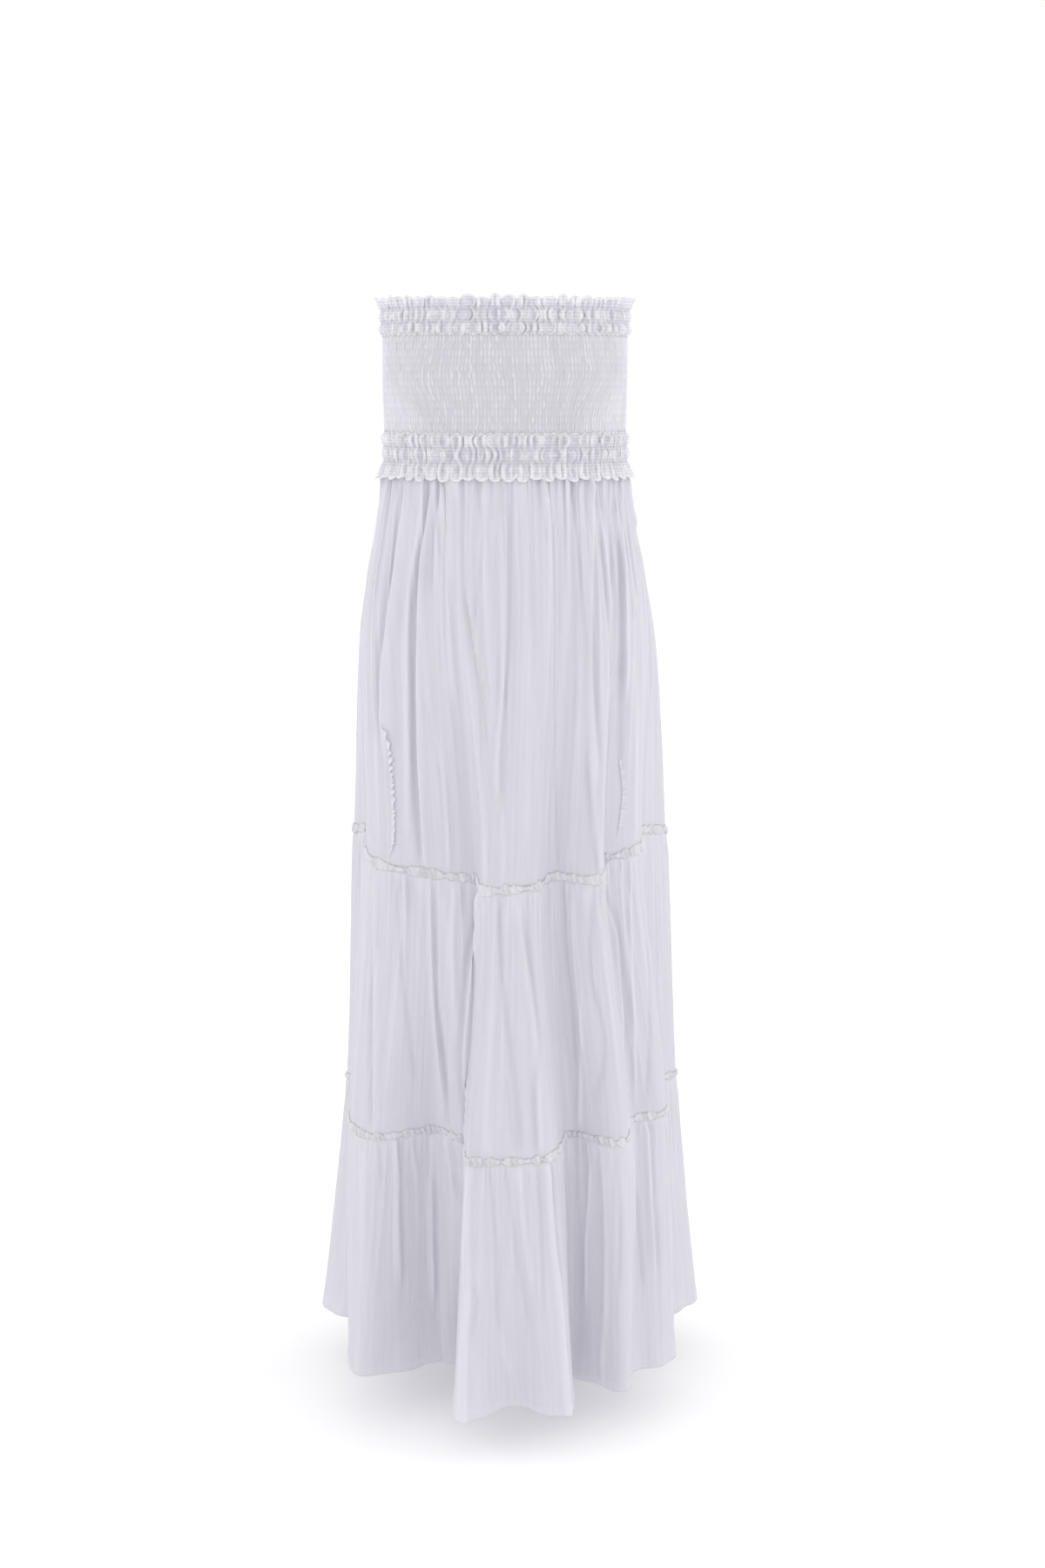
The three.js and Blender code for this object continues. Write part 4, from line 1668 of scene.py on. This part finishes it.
@dataclass(frozen=True)
class CottonThread:
    """Plain white sewing thread.

    Attributes:
        name: The material's name.
        shade: Colour in the twist's hollows, a painted shade.
        light: Colour of its ply, a painted highlight.
        twist: How fine its twist is.
        proud: How far a ply stands out, in millimetres.
    """

    name: str = "cotton_thread"
    shade: tuple[float, ...] = (0.74, 0.74, 0.77, 1)
    light: tuple[float, ...] = (0.9, 0.9, 0.93, 1)
    twist: float = 700
    proud: float = 0.05

    def material(self) -> bpy.types.Material:
        """Builds the material."""
        nodes = Nodes(self.name)
        place = nodes.add("ShaderNodeTexCoord").outputs["Object"]
        waves = {"Vector": place, "Scale": self.twist, "Distortion": 1}
        ply = nodes.add("ShaderNodeTexWave", waves, bands_direction="DIAGONAL").outputs["Fac"]
        # The ply's wave both bumps the thread and mixes its colour, painting shade in the twist's hollows
        # and highlight on the ply.
        shader = nodes.add(
            "ShaderNodeBsdfPrincipled",
            {
                "Base Color": nodes.blend(ply, self.shade, self.light),
                "Roughness": 0.7,
                "Normal": nodes.bump(ply, self.proud),
                "Sheen Weight": 0.1,
            },
        )
        nodes.add("ShaderNodeOutputMaterial", {"Surface": shader.outputs[0]})
        return nodes.material


@dataclass
class Studio:
    """A plain pale floor, soft light from all round and the camera.

    Attributes:
        eye: The camera's place, in metres.
        pitch: How far it looks down, in degrees.
        lens: Focal length on a 36 mm frame.
        floor: Colour of the floor.
        lift: Extra light of the floor, which makes it as white as the background.
        sky: Strength of the light from all round.
        flank: Strength of the lights at the left and at the right.
        front: Strength of the light from the front.
        softness: Degrees that the side lights and the front light spread over.
        reach: Radius of the floor, in metres.
    """

    eye: tuple[float, float, float] = (0.0193, -2.453, -0.083)
    pitch: float = 10.43
    lens: float = 50.0
    floor: tuple[float, ...] = (0.96, 0.96, 0.965, 1)
    lift: float = 0.1
    sky: float = 0.88
    flank: tuple[float, float] = (0.9, 1.1)
    front: float = 0.17
    softness: tuple[float, float] = (80, 60)
    reach: float = 12.0

    def camera(self) -> None:
        """Places the camera."""
        data = bpy.data.cameras.new("camera")
        data.lens = self.lens
        data.sensor_width = 36
        data.clip_end = 50
        camera = bpy.data.objects.new("camera", data)
        camera.location = self.eye
        camera.rotation_euler = (math.radians(90 - self.pitch), 0, 0)
        bpy.context.scene.collection.objects.link(camera)
        bpy.context.scene.camera = camera

    def sun(self, name: str, towards: tuple[float, float, float], degrees: float, power: float) -> None:
        """Adds a broad even light.

        Args:
            name: The light's name.
            towards: Direction from the dress to the light.
            degrees: How many degrees it spreads over, which softens its shadows.
            power: Its strength.
        """
        data = bpy.data.lights.new(name, "SUN")
        data.angle = math.radians(degrees)
        data.energy = power
        lamp = bpy.data.objects.new(name, data)
        lamp.rotation_euler = Vector(towards).to_track_quat("Z", "Y").to_euler()
        bpy.context.scene.collection.objects.link(lamp)

    def sky_light(self) -> None:
        """Fills the room with soft light, before a white background."""
        world = bpy.data.worlds.new("studio")
        world.use_nodes = True
        tree = world.node_tree
        tree.nodes.clear()
        room = tree.nodes.new("ShaderNodeBackground")
        room.inputs["Strength"].default_value = self.sky
        backdrop = tree.nodes.new("ShaderNodeBackground")
        for glow in (room, backdrop):
            glow.inputs["Color"].default_value = (1, 1, 1, 1)
        ray = tree.nodes.new("ShaderNodeLightPath")
        both = tree.nodes.new("ShaderNodeMixShader")
        out = tree.nodes.new("ShaderNodeOutputWorld")
        tree.links.new(ray.outputs["Is Camera Ray"], both.inputs[0])
        tree.links.new(room.outputs[0], both.inputs[1])
        tree.links.new(backdrop.outputs[0], both.inputs[2])
        tree.links.new(both.outputs[0], out.inputs["Surface"])
        bpy.context.scene.world = world

    def lay_floor(self) -> None:
        """Lays the floor."""
        disc = bmesh.new()
        bmesh.ops.create_circle(disc, cap_ends=True, segments=64, radius=self.reach)
        mesh = bpy.data.meshes.new("floor")
        disc.to_mesh(mesh)
        disc.free()
        floor = bpy.data.objects.new("floor", mesh)
        floor.location.z = Level.FLOOR.value * MM
        nodes = Nodes("pale_floor")
        paint = nodes.add("ShaderNodeBsdfDiffuse", {"Color": self.floor})
        white = nodes.add("ShaderNodeEmission", {"Color": self.floor, "Strength": self.lift})
        both = nodes.add("ShaderNodeAddShader", {0: paint.outputs[0], 1: white.outputs[0]})
        nodes.add("ShaderNodeOutputMaterial", {"Surface": both.outputs[0]})
        mesh.materials.append(nodes.material)
        bpy.context.scene.collection.objects.link(floor)

    def build(self) -> None:
        """Builds the floor, the lights, the sky and the camera."""
        bpy.context.scene.view_settings.view_transform = "Standard"
        self.lay_floor()
        self.sky_light()
        broad, soft = self.softness
        self.sun("left_softbox", (-1, -0.12, 0.28), broad, self.flank[0])
        self.sun("right_softbox", (1, -0.12, 0.28), broad, self.flank[1])
        self.sun("front_softbox", (-0.25, -1, 0.6), soft, self.front)
        self.camera()


def long_folds(seed: int, pitch: float, height: float, reach: float) -> Pleats:
    """Folds that run far down from the seam."""
    return Pleats(
        seed, pitch, height=(0.25 * height, height), width=(2.2, 5.5), start=(-20, 40),
        reach=(0.4 * reach, reach), sway=4, lean=0.6,
    )


def fine_lines(seed: int, pitch: float, height: float, reach: float) -> Pleats:
    """Narrow lines that run from the seam."""
    return Pleats(
        seed, pitch, height=(0.3 * height, height), width=(1.3, 2.2), start=(-20, 60),
        reach=(0.3 * reach, reach), sway=3, lean=0.4,
    )


def short_gathers(seed: int, pitch: float, height: float, reach: float) -> Pleats:
    """Small gathers that die out soon below the seam."""
    return Pleats(
        seed, pitch, height=(0.3 * height, height), width=(1.4, 2.6), start=(-12, 0),
        reach=(0.3 * reach, reach), sway=2, lean=0.4,
    )


def crinkles(seed: int, pitch: float, height: float, depth: float) -> Pleats:
    """Short crinkles anywhere down the tier."""
    return Pleats(
        seed, pitch, height=(-height, height), width=(1.6, 3.2), start=(10, depth), reach=(20, 70),
        sway=3, lean=0.3,
    )


def dress_tiers(skirt: FoldedSkirt) -> tuple[SkirtTier, ...]:
    """Sets out the three tiers of the skirt."""
    return (
        SkirtTier(
            skirt, 1, Level.WAIST.value, Level.SEAM_1.value,
            pleats=(
                long_folds(21, 16, 3.1, 460),
                fine_lines(24, 5, 1.9, 420),
                short_gathers(22, 5, 3.3, 100),
                crinkles(23, 4, 0.55, 400),
            ),
            flat={Side.FRONT: (0.6, 0.44), Side.BACK: (0.65, 0.44)},
            columns=520, rows=((24, 7), (110, 11), (400, 22), (438, 5)), calm=0.5,
        ),
        SkirtTier(
            skirt, 2, Level.SEAM_1.value, Level.SEAM_2.value,
            pleats=(
                long_folds(31, 19, 2.2, 300),
                fine_lines(34, 6, 1.4, 300),
                short_gathers(32, 5.5, 1.6, 50),
                crinkles(33, 5, 0.4, 270),
            ),
            flat={Side.FRONT: (0.72, 0.295), Side.BACK: (0.8, 0.295)},
            columns=580, rows=((24, 7), (100, 10), (270, 15), (293, 4)), calm=0.45,
        ),
        SkirtTier(
            skirt, 3, Level.SEAM_2.value, Level.HEM.value,
            pleats=(
                long_folds(41, 22, 1.8, 260),
                fine_lines(44, 8, 1.2, 240),
                short_gathers(42, 6, 1.6, 50),
                crinkles(43, 6, 0.4, 270),
            ),
            flat={Side.FRONT: (0.85, 0.31), Side.BACK: (0.95, 0.31)},
            columns=580, rows=((24, 6), (100, 9), (288, 16), (291, 2), (300, 4)), calm=0.45, hem=9.0,
        ),
    )


def main() -> None:
    """Builds the dress, piece by piece, and the studio round it."""
    logging.basicConfig(level=logging.INFO, format="%(name)s: %(message)s")
    figure = Figure()
    skirt = FoldedSkirt(figure)
    gauze = CrinkledGauze().material()
    lace = EyeletLace().material()
    thread = CottonThread().material()
    bodice = ShirredBodice(figure)
    for side in Side:
        bodice.panel(side, gauze)
    GatheredLace(
        figure, "lace_band_top", "lace_top", seam=Level.LACE_FOOT.value, notch=3.5, peak=10,
        elastics=(-19, -4.5), seed=5, flat=(1.15, 0.044),
    ).band(lace)
    GatheredLace(
        figure, "lace_band_under", "lace_under", seam=-135, notch=-182, peak=-188,
        elastics=(-151, -167), seed=9, flat=(1.15, 0.054),
    ).band(lace)
    tiers = dress_tiers(skirt)
    for tier in tiers:
        for side in Side:
            tier.panel(side, gauze)
    SeamFrill(
        skirt, "seam_frill_upper", "frill_upper", Level.SEAM_1.value, "skirt_tier_1_front", seed=51,
        flat=(1.4, 0.012), columns=1100,
    ).strip(gauze)
    SeamFrill(
        skirt, "seam_frill_lower", "frill_lower", Level.SEAM_2.value, "skirt_tier_2_front", seed=52,
        flat=(1.65, 0.012), columns=1300,
    ).strip(gauze)
    SeamEdge(
        tiers[0], "seam_edge_left", Side.FRONT, ((-131, -452), (-127, -500), (-124, -545), (-126, -602))
    ).strip(gauze)
    SeamEdge(
        tiers[0], "seam_edge_right", Side.FRONT, ((126, -500), (129, -545), (124, -590)), seed=62
    ).strip(gauze)
    HemStitches(tiers[-1]).row(thread)
    Studio().build()


if __name__ == "__main__":
    main()
